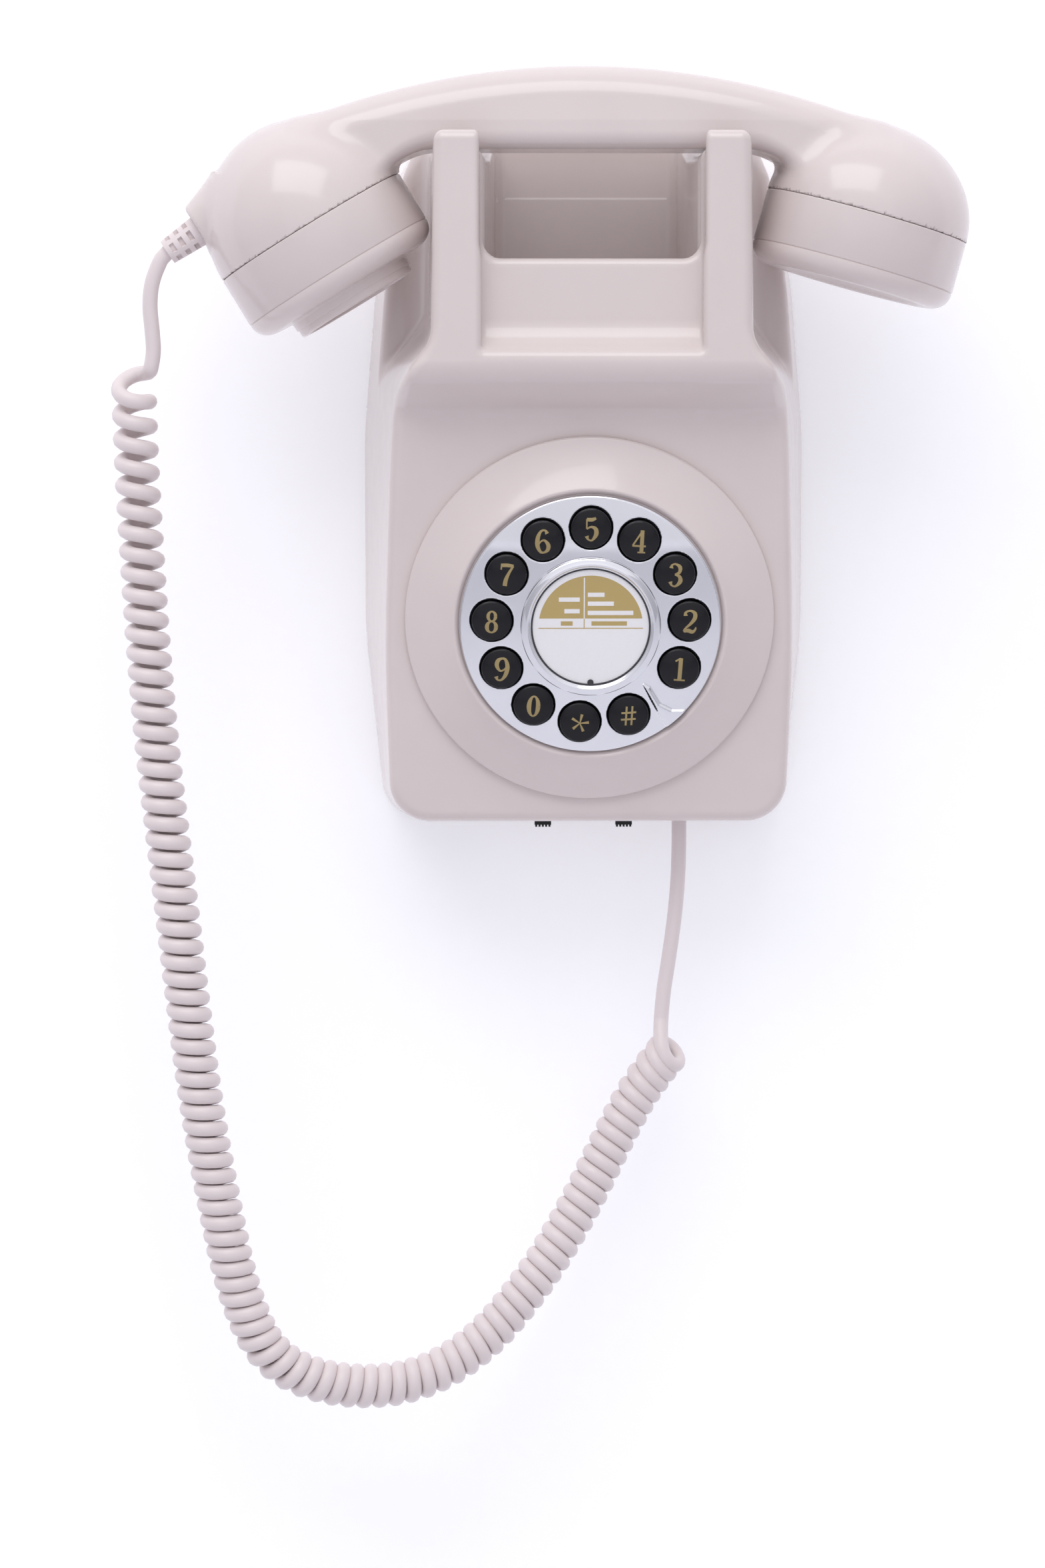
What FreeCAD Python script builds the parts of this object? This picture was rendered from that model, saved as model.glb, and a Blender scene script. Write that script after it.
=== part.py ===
import FreeCAD, Part

import math
import os

# Slimline push-button wall phone, millimetres.
# X runs to the right, +Z up, and the wall is the plane Y = 0. Depths are measured out of the wall, so
# Y = -depth. The origin is the middle of the two wall-screw holes, on the back face.

# ---- driving dimensions --------------------------------------------------------------------------
SKIN = 2.4                  # case wall thickness
WALL_HALF_WIDTH = 65.8      # widest half width, at the wall
CASE_DEPTH = 87.0           # wall to the front of the prongs
CASE_TOP = 98.8             # top edge at the wall
CASE_BOTTOM = -101.5        # bottom edge at the wall
PRONG_IN = 31.5             # inner side of a prong
PRONG_OUT = 45.4            # outer side of a prong
PANEL_TOP = 64.9            # top edge of the panel between the prongs
PANEL_DEPTH = 80.0          # front of that panel
PANEL_BACK = 76.0           # back of that panel
TROUGH_BACK = 19.0          # rear wall of the hand hold
TROUGH_FLOOR = 40.0
WING_DEPTH = 27.0           # tub depth beside the prongs
WING_BLEND = 9.0            # hollow curve from the tub up to a prong
BROW_LOW = (70.5, 20.8)     # depth and height where the brow meets the dial face
FACE_LOW = (51.0, -98.1)    # depth and height of the bottom of the dial face
PLATE_GAP = 0.3             # back plate to case wall
PLATE_THICK = 2.4

DIAL_Z = -38.25             # height of the dial centre on the face plane
DISC_R = 53.4               # body-colour dial cone
CHROME_R = 37.6
KEY_CIRCLE_R = 28.5
KEY_COUNT = 12
KEY_STEP = 29.0             # degrees between keys; the gap left holds the finger stop shape
KEY_FIRST = -26.0           # direction of key 1, degrees from +X
KEY_R = 5.75
KEY_HOLE_R = 6.1
BEZEL_R = 20.2
LABEL_R = 17.0
DIAL_HOLE_R = 41.0          # opening in the face under the dial

SCREW_HEIGHT = 70.0         # wall screws sit this far above and below the origin
SCREW_HOLE_R = 2.6
BOSSES = [(-50, -80), (50, -80), (-53, 48), (53, 48)]   # X and Z of the case screws

HANDSET_DEPTH = 60.0        # middle plane of the handset
CAP_R = 29.7
CAP_RING = 14.9             # height of the straight band of a cap
CAP_LIP = 5.8
MOUTH_CENTRE = (-80.25, 74.15)   # X and Z of the middle of the mouth cup's joint line
MOUTH_TILT = 31.4
MOUTH_DOME = 31.7           # height of the dome over the joint line
EAR_CENTRE = (79.85, 77.45)
EAR_TILT = -15.6
EAR_DOME = 26.8
MOUTH_RIM_R = 18.5
HANDLE_TOP = 119.8
HANDLE_APEX = -2.0
HANDLE_BOW_R = 215.0
HANDLE_END = 88.0           # the handle's own moulding runs this far into each cup
HANDLE_BOTTOM = 96.0
RELIEF_END = (-121.5, 67.0) # X and Z where the cord leaves the strain relief
RELIEF_LENGTH = 11.5
RELIEF_SLOPE = 34.2         # degrees below -X
CUPS = [(MOUTH_CENTRE, MOUTH_TILT, MOUTH_DOME), (EAR_CENTRE, EAR_TILT, EAR_DOME)]

SADDLE_LOW = 94.8           # bottom of the saddle that carries the handle
PLUNGER_X = 38.4
PLUNGER_R = 2.2
HOOK_DEPTH = 56.0
HOOK_SEAT_Z = 12.6          # shelf that the hook spring stands on

BOARD_HALF = 46.0
BOARD_DEPTH = (9.0, 10.6)
BOARD_Z = (-60.0, -14.0)
GONG_Z = -78.0
GONG_LARGE = (18.7, 15.4)   # X and radius
GONG_SMALL = (-17.2, 14.0)
CLAPPER_PIVOT_Z = -63.2

WIRE_R = 2.25               # handset cord
COIL_R = 6.65               # outside of the cord's coil
EXIT = (27.8, 25.0)         # X and depth where the cord leaves the base
EXIT_Z = -99.8
GLAND_NECK_R = 4.4
JACK = (-39.6, 13.0)        # X and depth of the line socket in the bottom wall
SWITCH_DEPTH = 30.0
SWITCH_X = {"ringer": -12.85, "mode": 11.1}

os.makedirs("parts", exist_ok=True)
parts = {}


def at(x, depth, z):
    return FreeCAD.Vector(x, -depth, z)


OUT = FreeCAD.Vector(0, -1, 0)
UP = FreeCAD.Vector(0, 0, 1)
RIGHT = FreeCAD.Vector(1, 0, 0)
face_angle = math.atan2(BROW_LOW[0] - FACE_LOW[0], BROW_LOW[1] - FACE_LOW[1])
FACE_NORMAL = FreeCAD.Vector(0, -math.cos(face_angle), -math.sin(face_angle))
FACE_UP = FreeCAD.Vector(0, -math.sin(face_angle), math.cos(face_angle))
dial_depth = FACE_LOW[0] + (DIAL_Z - FACE_LOW[1]) * math.tan(face_angle)
DIAL = at(0, dial_depth, DIAL_Z)


def on_dial(radius, angle, height):
    """A point over the dial face: polar place in the face plane, and height above it."""
    turn = math.radians(angle)
    outwards = RIGHT * math.cos(turn) + FACE_UP * math.sin(turn)
    return DIAL + outwards * radius + FACE_NORMAL * height


# ---- shape helpers -------------------------------------------------------------------------------
def box(x0, x1, d0, d1, z0, z1):
    return Part.makeBox(x1 - x0, d1 - d0, z1 - z0, FreeCAD.Vector(x0, -d1, z0))


def rod(start, direction, radius, length):
    return Part.makeCylinder(radius, length, start, direction)


def rounded_wire(corners):
    """A closed wire through corner points, each (point, radius), with arcs tangent to both sides."""
    count = len(corners)
    joints = []
    for index, (point, radius) in enumerate(corners):
        before = corners[index - 1][0] - point
        after = corners[(index + 1) % count][0] - point
        before.normalize()
        after.normalize()
        half = before.getAngle(after) / 2
        if radius <= 0:
            joints.append((point, point, point))
            continue
        reach = radius / math.tan(half)
        middle = before + after
        middle.normalize()
        dip = radius / math.sin(half) - radius
        joints.append((point + before * reach, point + middle * dip, point + after * reach))
    edges = []
    for index in range(count):
        enter, middle, leave = joints[index]
        if (leave - enter).Length > 1e-6:
            edges.append(Part.Arc(enter, middle, leave).toShape())
        edges.append(Part.LineSegment(leave, joints[(index + 1) % count][0]).toShape())
    return Part.Wire(edges)


def front_wire(corners, depth):
    return rounded_wire([(at(x, depth, z), r) for x, z, r in corners])


def prism_out(corners, d0, d1):
    """Corners (x, z, radius), extruded from depth d0 out to depth d1."""
    return Part.Face(front_wire(corners, d0)).extrude(OUT * (d1 - d0))


def prism_across(corners, x0, x1):
    """Corners (depth, z, radius), extruded from x0 to x1."""
    wire = rounded_wire([(at(x0, depth, z), r) for depth, z, r in corners])
    return Part.Face(wire).extrude(RIGHT * (x1 - x0))


def turned(profile, centre, axis, side):
    """A solid of revolution. Profile points are (radius, height along axis)."""
    points = [centre + side * radius + axis * height for radius, height in profile]
    wire = Part.makePolygon(points + [points[0]])
    return Part.Face(wire).revolve(centre, axis, 360)


def mirrored(shape):
    return shape.mirror(FreeCAD.Vector(0, 0, 0), RIGHT)


def both_sides(corners):
    """Close a right-hand outline, listed from the bottom up, with its mirror image."""
    return corners + [(-x, z, r) for x, z, r in reversed(corners)]


def softened(shape, radius, test):
    """Round the edges that pass a test."""
    return shape.makeFillet(radius, [edge for edge in shape.Edges if test(edge)])


def fused(shapes):
    whole = shapes[0]
    for shape in shapes[1:]:
        whole = whole.fuse(shape)
    return whole.removeSplitter()


# ---- front case ----------------------------------------------------------------------------------
def shell_block(inset):
    """The drafted outer block of the case. Its outline shrinks from the wall to the front."""
    low, high = inset, -inset
    wall = both_sides([
        (59.5 - inset, CASE_BOTTOM + low, 16 - inset),
        (WALL_HALF_WIDTH - 0.2 - inset, -45, 150),
        (WALL_HALF_WIDTH - inset, 15, 150),
        (62.2 - inset, 60, 90),
        (55.6 - inset, 90.5 + high, 8),
        (51.0 - inset, CASE_TOP + high, 4),
    ])
    front = both_sides([
        (56.0 - inset, -95.5 + low, 9 - inset),
        (55.6 - inset, -45, 150),
        (54.2 - inset, 15, 150),
        (51.5 - inset, 60, 90),
        (49.5 - inset, 90.5 + high, 8),
        (47.5 - inset, 101.2 + high, 4),
    ])
    return Part.makeLoft([front_wire(wall, 0), front_wire(front, 90)], True, True)


def side_profile(inset):
    """The case seen from the side: dial face, brow, and the tall front of the prongs."""
    lean = inset / math.cos(face_angle)
    return prism_across([
        (-1, -115, 0),
        (FACE_LOW[0] - 2.8 - lean, -115, 0),
        (BROW_LOW[0] - lean, BROW_LOW[1], 0 if inset else 2.0),
        (CASE_DEPTH - inset, 31.5 - inset * 0.4, 9),
        (CASE_DEPTH - inset, 112, 0),
        (-1, 112, 0),
    ], -80, 80)


def wing_cutter(grow):
    """The space outside one prong, in front of the tub, above the sloping shoulder."""
    front = [
        (PRONG_OUT + 0.3 - grow, 40.2 - grow, 0),
        (82, -5.5 - grow * 1.6, 0),
        (82, 140, 0),
        (PRONG_OUT - 1.0 - grow, 140, 0),
    ]
    back = [
        (PRONG_OUT + 1.0 - grow, 49.5 - grow, 0),
        (82, 6.5 - grow * 1.6, 0),
        (82, 140, 0),
        (PRONG_OUT + 0.4 - grow, 140, 0),
    ]
    floor = -WING_DEPTH + grow
    cutter = Part.makeLoft([front_wire(back, -floor), front_wire(front, 95)], True, True)
    if grow:
        return cutter

    def bounds_the_corner(edge):
        reach = edge.BoundBox
        on_floor = abs(reach.YMin - floor) < 0.01 and abs(reach.YMax - floor) < 0.01
        beside_prong = on_floor and reach.XMax < 60
        over_shoulder = on_floor and reach.ZMax < 60
        between_them = reach.XMax < 60 and reach.ZMax < 60 and reach.YLength > 50
        return beside_prong or over_shoulder or between_them
    return softened(cutter, WING_BLEND, bounds_the_corner)


def trough_cutter(grow):
    """The hand hold behind the panel, and the window above the panel."""
    def opening(half, floor, radius):
        return [(half + grow, floor - grow, radius), (half + grow, 130, 0), (-half - grow, 130, 0),
                (-half - grow, floor - grow, radius)]
    pocket_rear = front_wire(opening(PRONG_IN - 4.8, TROUGH_FLOOR, 6), TROUGH_BACK - grow)
    pocket_front = front_wire(opening(PRONG_IN - 0.8, TROUGH_FLOOR, 6), PANEL_BACK + grow)
    pocket = Part.makeLoft([pocket_rear, pocket_front], True, True)
    window_rear = front_wire(opening(PRONG_IN - 0.9, PANEL_TOP, 5), PANEL_BACK - 2)
    window_front = front_wire(opening(PRONG_IN + 0.4, PANEL_TOP, 5), 95)
    window = Part.makeLoft([window_rear, window_front], True, True)
    half = PRONG_IN + grow
    recess = prism_across([
        (PANEL_DEPTH - grow, 130, 0),
        (PANEL_DEPTH - grow, 39.0 - grow, 8.5),
        (PANEL_DEPTH + 9.0, 38.2 - grow, 0),
        (PANEL_DEPTH + 9.0, 130, 0),
    ], -half, half)
    return fused([pocket, window, recess])


def saddle_cutter(drop):
    """The shallow U across both cheeks that the handle lies in."""
    return prism_across([
        (82.6, 112, 0),
        (82.0, 98.0 - drop, 2.2),
        (74.0, SADDLE_LOW + 0.7 - drop, 6),
        (58.0, SADDLE_LOW - drop, 30),
        (44.0, SADDLE_LOW + 0.6 - drop, 14),
        (32.0, 99.5 - drop, 6),
        (28.0, 112, 0),
    ], -50, 50)


def case_form(inset):
    """The solid that the case encloses, drawn inwards by inset."""
    form = shell_block(inset).common(side_profile(inset))
    right_wing = wing_cutter(inset)
    form = form.cut(right_wing).cut(mirrored(right_wing))
    form = form.cut(trough_cutter(inset))
    return form.cut(saddle_cutter(inset))


def front_case():
    # Both forms start at the wall, so the case is open at the back.
    shell = case_form(0).cut(case_form(SKIN))
    shell = shell.cut(box(-80, 80, -2, 0.01, -120, 120))
    bosses = []
    for x, z in BOSSES:
        boss = rod(at(x, PLATE_THICK + 0.2, z), OUT, 3.6, 60).common(case_form(0.6))
        bosses.append(boss.cut(rod(at(x, 0, z), OUT, 1.6, 14)))
    shell = fused([shell] + bosses)
    dial_hole = rod(DIAL + FACE_NORMAL * -8, FACE_NORMAL, DIAL_HOLE_R, 16)
    shell = shell.cut(dial_hole)
    for side in (-1, 1):
        shell = shell.cut(rod(at(side * PLUNGER_X, HOOK_DEPTH, 80), UP, PLUNGER_R + 0.35, 30))
    for x in SWITCH_X.values():
        shell = shell.cut(box(x - 5.5, x + 5.5, SWITCH_DEPTH - 2.0, SWITCH_DEPTH + 2.0, -110, -90))
    shell = shell.cut(rod(at(EXIT[0], EXIT[1], -110), UP, GLAND_NECK_R + 0.05, 20))
    jx, jd = JACK
    shell = shell.cut(box(jx - 6.0, jx + 6.0, jd - 5.0, jd + 5.0, -110, -92))
    return shell


def back_plate():
    gap = SKIN + PLATE_GAP
    outline = both_sides([
        (59.3 - gap, CASE_BOTTOM + gap, 13),
        (65.2 - gap, -45, 150),
        (65.3 - gap, 15, 150),
        (61.8 - gap, 60, 90),
        (55.2 - gap, 90.5 - gap, 8),
        (50.8 - gap, CASE_TOP - gap, 4),
    ])
    plate = prism_out(outline, 0, PLATE_THICK)
    for side in (-1, 1):
        plate = plate.cut(rod(at(0, -1, side * SCREW_HEIGHT), OUT, SCREW_HOLE_R, 6))
    for x, z in BOSSES:
        plate = plate.cut(rod(at(x, -1, z), OUT, 1.6, 6))
        plate = plate.cut(Part.makeCone(3.4, 1.6, 1.8, at(x, 0, z), OUT))
    return plate


def case_screws():
    screws = []
    for x, z in BOSSES:
        head = Part.makeCone(3.2, 1.5, 1.6, at(x, 0.1, z), OUT)
        screws.append(head.fuse(rod(at(x, 0.1, z), OUT, 1.5, 11.4)))
    return Part.makeCompound([screw.removeSplitter() for screw in screws])


# ---- dial ----------------------------------------------------------------------------------------
def dial_turned(profile):
    return turned(profile, DIAL, FACE_NORMAL, RIGHT)


def key_angles():
    return [KEY_FIRST + KEY_STEP * index for index in range(KEY_COUNT)]


def dial_ring():
    return dial_turned([
        (DISC_R, 0.0), (DISC_R, 1.3), (DISC_R - 0.7, 2.0), (39.4, 8.5), (38.9, 8.8), (37.8, 8.8),
        (37.8, 7.5), (36.2, 7.5), (36.2, 6.0), (38.6, 6.0), (50.2, 0.0),
    ])


def chrome_height(radius):
    """Height of the chrome plate's domed top over the face plane."""
    return 11.9 - 2.8 * (radius / CHROME_R) ** 2


def finger_plate():
    steps = 12
    top = [(16.5 + (CHROME_R - 0.5 - 16.5) * i / steps) for i in range(steps + 1)]
    over = [(radius, chrome_height(radius)) for radius in top]
    under = [(radius, chrome_height(radius) - 1.2) for radius in reversed(top)]
    rim = [(CHROME_R, chrome_height(CHROME_R) - 0.4), (CHROME_R, 7.6)]
    plate = dial_turned(over + rim + [(CHROME_R - 0.5, 7.6)] + under[1:])
    for angle in key_angles():
        plate = plate.cut(rod(on_dial(KEY_CIRCLE_R, angle, 5), FACE_NORMAL, KEY_HOLE_R, 10))
    return plate


def centre_bezel():
    return dial_turned([
        (0, 9.6), (16.2, 9.6), (16.2, 11.4), (BEZEL_R, 11.45), (BEZEL_R, 12.6), (BEZEL_R - 0.5, 13.4),
        (18.9, 14.0), (17.9, 13.8), (LABEL_R + 0.2, 13.2), (LABEL_R + 0.2, 12.0), (0, 12.0),
    ])


def label_card():
    return rod(DIAL + FACE_NORMAL * 12.0, FACE_NORMAL, LABEL_R, 0.4)


def label_lens():
    return rod(DIAL + FACE_NORMAL * 12.4, FACE_NORMAL, LABEL_R, 0.7)


def key_cap(angle):
    """A push button: flange below the plate, stem through its hole, and a domed top."""
    centre = on_dial(KEY_CIRCLE_R, angle, 0)
    dome = [(KEY_R * i / 5, 12.5 - 0.9 * (i / 5) ** 2) for i in range(5)]
    rim = [(KEY_R - 0.35, 11.45), (KEY_R, 11.0)]
    foot = [(KEY_R, 7.2), (6.6, 7.2), (6.6, 5.2), (0, 5.2)]
    return turned(dome + rim + foot, centre, FACE_NORMAL, RIGHT)


def keypad_mat():
    return dial_turned([(14, -2.5), (39.5, -2.5), (39.5, 3.2), (14, 3.2)])


def keypad_board():
    return dial_turned([(0, -4.2), (46, -4.2), (46, -2.6), (0, -2.6)])


# ---- inside the base -----------------------------------------------------------------------------
def board_pillars():
    pillars = []
    for x in (-41, 41):
        for z in (BOARD_Z[0] + 5, BOARD_Z[1] - 5):
            pillars.append(rod(at(x, PLATE_THICK, z), OUT, 3.0, BOARD_DEPTH[0] - PLATE_THICK))
    return Part.makeCompound(pillars)


def board_screws():
    screws = []
    for x in (-41, 41):
        for z in (BOARD_Z[0] + 5, BOARD_Z[1] - 5):
            screws.append(rod(at(x, BOARD_DEPTH[1], z), OUT, 2.6, 1.8))
    return Part.makeCompound(screws)


def main_board():
    board = box(-BOARD_HALF, BOARD_HALF, *BOARD_DEPTH, *BOARD_Z)
    front = BOARD_DEPTH[1]
    chips = [box(-22, -8, front, front + 3.6, -44, -30), box(6, 24, front, front + 2.4, -40, -30)]
    cans = [rod(at(x, front, -52), OUT, 4.0, 12) for x in (-30, -18, 20)]
    transformer = box(-14, 6, front, front + 15, -28, -17)
    return fused([board] + chips + cans + [transformer])


def slide_switch(x):
    """The fixed body of a slide switch, standing on the inside of the bottom wall."""
    body = box(x - 8.0, x + 8.0, SWITCH_DEPTH - 4.0, SWITCH_DEPTH + 4.0, -96.2, -89.0)
    slot = box(x - 5.5, x + 5.5, SWITCH_DEPTH - 2.0, SWITCH_DEPTH + 2.0, -97.0, -92.0)
    return body.cut(slot)


def switch_knob(x):
    """A ribbed thumb knob that shows just below the bottom wall."""
    reach = (SWITCH_DEPTH - 1.6, SWITCH_DEPTH + 1.6)
    knob = box(x - 2.45, x + 2.45, *reach, -101.6, -92.4)
    for rib in range(5):
        middle = x - 2.45 + 4.9 * (rib + 0.5) / 5
        knob = knob.fuse(box(middle - 0.3, middle + 0.3, *reach, -102.4, -101.6))
    return knob.removeSplitter()


def line_jack():
    x, depth = JACK
    housing = box(x - 6.4, x + 6.4, depth - 6.5, depth + 6.5, -97.2, -80)
    throat = box(x - 6.0, x + 6.0, depth - 5.0, depth + 5.0, -100.0, -97.2)
    body = housing.fuse(throat).removeSplitter()
    return body.cut(box(x - 4.9, x + 4.9, depth - 3.4, depth + 3.4, -102, -86))


def cord_gland():
    x, depth = EXIT
    neck = rod(at(x, depth, EXIT_Z), UP, GLAND_NECK_R, -96.6 - EXIT_Z)
    inner_flange = rod(at(x, depth, -96.6), UP, 6.0, 2.0)
    return neck.fuse(inner_flange).removeSplitter()


def hook_yoke():
    """Two plungers under the handle, joined by a crossbar that passes below the hand hold."""
    pieces = [box(-PLUNGER_X, PLUNGER_X, HOOK_DEPTH - 3, HOOK_DEPTH + 3, 26, 32)]
    for side in (-1, 1):
        pieces.append(rod(at(side * PLUNGER_X, HOOK_DEPTH, 26), UP, PLUNGER_R, SADDLE_LOW - 0.3 - 26))
    return fused(pieces)


def hook_spring():
    coil = Part.makeHelix(2.6, 12.0, 3.2)
    wire = Part.Wire(Part.makeCircle(0.45, FreeCAD.Vector(3.2, 0, 0), FreeCAD.Vector(0, 1, 0)))
    spring = Part.Wire(coil.Edges).makePipeShell([wire], True, True)
    spring.translate(at(-16, HOOK_DEPTH, HOOK_SEAT_Z + 0.6))
    return spring


def hook_bracket():
    """Steel bracket on the back plate that carries the hook spring and the hook switch."""
    foot = box(-26, 26, PLATE_THICK, PLATE_THICK + 1.6, 4, 24)
    shelf = box(-26, 26, PLATE_THICK, HOOK_DEPTH + 6, HOOK_SEAT_Z - 1.6, HOOK_SEAT_Z)
    return fused([foot, shelf])


def hook_switch():
    x = 14.0
    body = box(x - 9, x + 9, HOOK_DEPTH - 3.2, HOOK_DEPTH + 3.2, HOOK_SEAT_Z, HOOK_SEAT_Z + 10.4)
    button = box(x - 1.2, x + 1.2, HOOK_DEPTH - 1, HOOK_DEPTH + 1, HOOK_SEAT_Z + 10.4, 25.4)
    return fused([body, button])


def gong(x, radius):
    """A shallow steel bell, open towards the wall."""
    return turned([
        (0, 13.0), (radius * 0.55, 12.6), (radius * 0.9, 9.5), (radius, 1.0), (radius, 0.0),
        (radius - 1.0, 0.0), (radius - 1.1, 1.0), (radius * 0.9 - 1.0, 8.8), (radius * 0.55, 11.5), (0, 11.9),
    ], at(x, 14.0, GONG_Z), OUT, RIGHT)


def ringer_bracket():
    posts = [rod(at(x, PLATE_THICK, GONG_Z), OUT, 2.0, 24.2) for x in (GONG_SMALL[0], GONG_LARGE[0])]
    pivot = rod(at(0, PLATE_THICK, CLAPPER_PIVOT_Z), OUT, 1.45, 16)
    return Part.makeCompound(posts + [pivot])


def ringer_coil():
    x = -24.0
    bobbin = box(x - 9, x + 9, PLATE_THICK, PLATE_THICK + 5.5, -11, -1)
    return fused([bobbin, box(x - 4, x + 4, PLATE_THICK, PLATE_THICK + 9, -9, -3)])


def clapper():
    hub = rod(at(0, 12.0, CLAPPER_PIVOT_Z), OUT, 3.2, 3.0)
    hub = hub.cut(rod(at(0, 10.0, CLAPPER_PIVOT_Z), OUT, 1.5, 8))
    arm = box(-0.7, 0.7, 12.6, 14.2, GONG_Z, CLAPPER_PIVOT_Z - 2.4)
    ball = Part.makeSphere(1.6, at(0, 13.4, GONG_Z - 1.0))
    return fused([hub, arm, ball])


# ---- handset -------------------------------------------------------------------------------------
def cup_axes(centre, tilt):
    """Centre of a cup's joint line, the way its cap faces, and a direction along the joint line."""
    turn = math.radians(tilt)
    along = FreeCAD.Vector(math.cos(turn), 0, math.sin(turn))
    down = FreeCAD.Vector(math.sin(turn), 0, -math.cos(turn))
    return at(centre[0], HANDSET_DEPTH, centre[1]), down, along


def handle_top(x):
    return HANDLE_TOP - (x - HANDLE_APEX) ** 2 / (2 * HANDLE_BOW_R)


def handle_bottom(x):
    reach = abs(x) - 44.0
    return HANDLE_BOTTOM if reach <= 0 else HANDLE_BOTTOM - 0.018 * reach ** 2


def handle_section(x, inset):
    half = 17.6 - 4.6 * (abs(x) / HANDLE_END) ** 4 - inset
    top = handle_top(x) - inset
    bottom = handle_bottom(x) + inset
    upper = min(9.0, (top - bottom) * 0.4)
    lower = min(6.5, (top - bottom) * 0.3)
    corners = [(HANDSET_DEPTH - half, bottom, lower), (HANDSET_DEPTH + half, bottom, lower),
               (HANDSET_DEPTH + half - 1.5, top, upper), (HANDSET_DEPTH - half + 1.5, top, upper)]
    return rounded_wire([(at(x, depth, z), r) for depth, z, r in corners])


def handle(inset):
    stations = [HANDLE_END * step / 4 for step in range(-4, 5)]
    return Part.makeLoft([handle_section(x, inset) for x in stations], True, False)


def cup(centre, tilt, height, inset):
    """The domed half of a cup, above its joint line."""
    middle, down, along = cup_axes(centre, tilt)
    steps = 10
    radius = CAP_R - inset
    profile = [(0.0, 0.0), (radius, 0.0)]
    for i in range(1, steps):
        turn = math.radians(90.0 * i / steps)
        profile.append((radius * math.cos(turn), -(height - inset) * math.sin(turn)))
    profile.append((0.0, -(height - inset)))
    return turned(profile, middle, down, along)


def handset_body():
    """Hollow handle with a hollow dome at each end, open where the caps screw on."""
    grip = handle(0).cut(handle(3.0).common(box(-56, 56, 0, 120, 60, 140)))
    for centre, tilt, height in CUPS:
        middle, down, along = cup_axes(centre, tilt)
        grip = grip.cut(cup(centre, tilt, height, 1.2))
        grip = grip.cut(Part.makeCylinder(40, 60, middle + down * 0.01, down))
    grip = max(grip.Solids, key=lambda solid: solid.Volume)
    domes = []
    for place in CUPS:
        domes.append(cup(*place, 0).cut(cup(*place, 2.6)))
    domes[0] = domes[0].fuse(cord_boss().cut(cup(*CUPS[0], 1.2)))
    body = fused([grip] + domes)
    return body.cut(rod(relief_root() - relief_axis() * 14, relief_axis(), 2.6, 54))


def relief_axis():
    turn = math.radians(RELIEF_SLOPE)
    return FreeCAD.Vector(-math.cos(turn), 0, -math.sin(turn))


def relief_root():
    return at(RELIEF_END[0], HANDSET_DEPTH, RELIEF_END[1]) - relief_axis() * RELIEF_LENGTH


def cord_boss():
    """The short cone on the mouth cup that holds the strain relief."""
    start = relief_root() - relief_axis() * 12
    return Part.makeCone(11.5, 7.6, 12.4, start, relief_axis())


def strain_relief():
    root = relief_root() + relief_axis() * 0.4
    barrel = Part.makeCone(4.5, 3.7, RELIEF_LENGTH - 0.4, root, relief_axis())
    plug = rod(root, relief_axis() * -1, 2.5, 9)
    relief = barrel.fuse(plug)
    slot_length = 1.4
    for row in range(3):
        middle = root + relief_axis() * (2.2 + 3.0 * row)
        cutter = Part.makeCylinder(6, slot_length, middle, relief_axis())
        cutter = cutter.cut(Part.makeCylinder(3.0, slot_length, middle, relief_axis()))
        for rib in range(6):
            spoke = Part.makeBox(14, 1.3, slot_length, FreeCAD.Vector(-7, -0.65, 0))
            spoke.Placement = FreeCAD.Placement(middle, FreeCAD.Rotation(UP, relief_axis()))
            spoke.rotate(middle, relief_axis(), 60 * rib)
            cutter = cutter.cut(spoke)
        relief = relief.cut(cutter)
    return relief.removeSplitter()


def cap_profile(rim):
    """Half section of a screw-on cap: band, rounded lip, face, and the hollow behind."""
    outer = [(CAP_R, 0.15), (CAP_R, CAP_RING - 0.3), (CAP_R - 0.35, CAP_RING), (CAP_R - 0.1, CAP_RING + 0.4)]
    lip = []
    for i in range(1, 7):
        turn = math.radians(90.0 * i / 6)
        lip.append((CAP_R - 6.0 + 5.9 * math.cos(turn), CAP_RING + 0.4 + (CAP_LIP - 0.4) * math.sin(turn)))
    face = CAP_RING + CAP_LIP
    if rim:
        face_points = [(MOUTH_RIM_R + 2.0, face), (MOUTH_RIM_R, face + 1.4), (MOUTH_RIM_R, face + 4.4),
                       (MOUTH_RIM_R - 0.8, face + 5.2), (MOUTH_RIM_R - 2.2, face + 5.2),
                       (MOUTH_RIM_R - 3.4, face + 2.0), (0, face + 1.4)]
    else:
        face_points = [(22.5, face), (20.5, face - 0.8), (8.0, face - 3.4), (0, face - 3.8)]
    back = face - 3.0 if rim else face - 6.4
    inner = [(0, back), (MOUTH_RIM_R - 4, back), (CAP_R - 8, CAP_RING + 0.4), (CAP_R - 3, CAP_RING - 2.0),
             (CAP_R - 3, 0.15)]
    return outer + lip + face_points + inner


def cap(centre, tilt, rim):
    middle, down, along = cup_axes(centre, tilt)
    body = turned(cap_profile(rim), middle, down, along)
    for ring_radius, holes in ((0, 1), (4.5, 6), (9.0, 12)):
        for index in range(holes):
            turn = 2 * math.pi * index / holes
            place = middle + along * (ring_radius * math.cos(turn)) + OUT * (ring_radius * math.sin(turn))
            body = body.cut(Part.makeCylinder(0.9, 40, place + down * 5, down))
    return body


def capsule(centre, tilt, radius, start, thick):
    middle, down, along = cup_axes(centre, tilt)
    return Part.makeCylinder(radius, thick, middle + down * start, down)


def handset_weight():
    return box(-40, -8, HANDSET_DEPTH - 9, HANDSET_DEPTH + 9, 101.5, 109.5)


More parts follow.
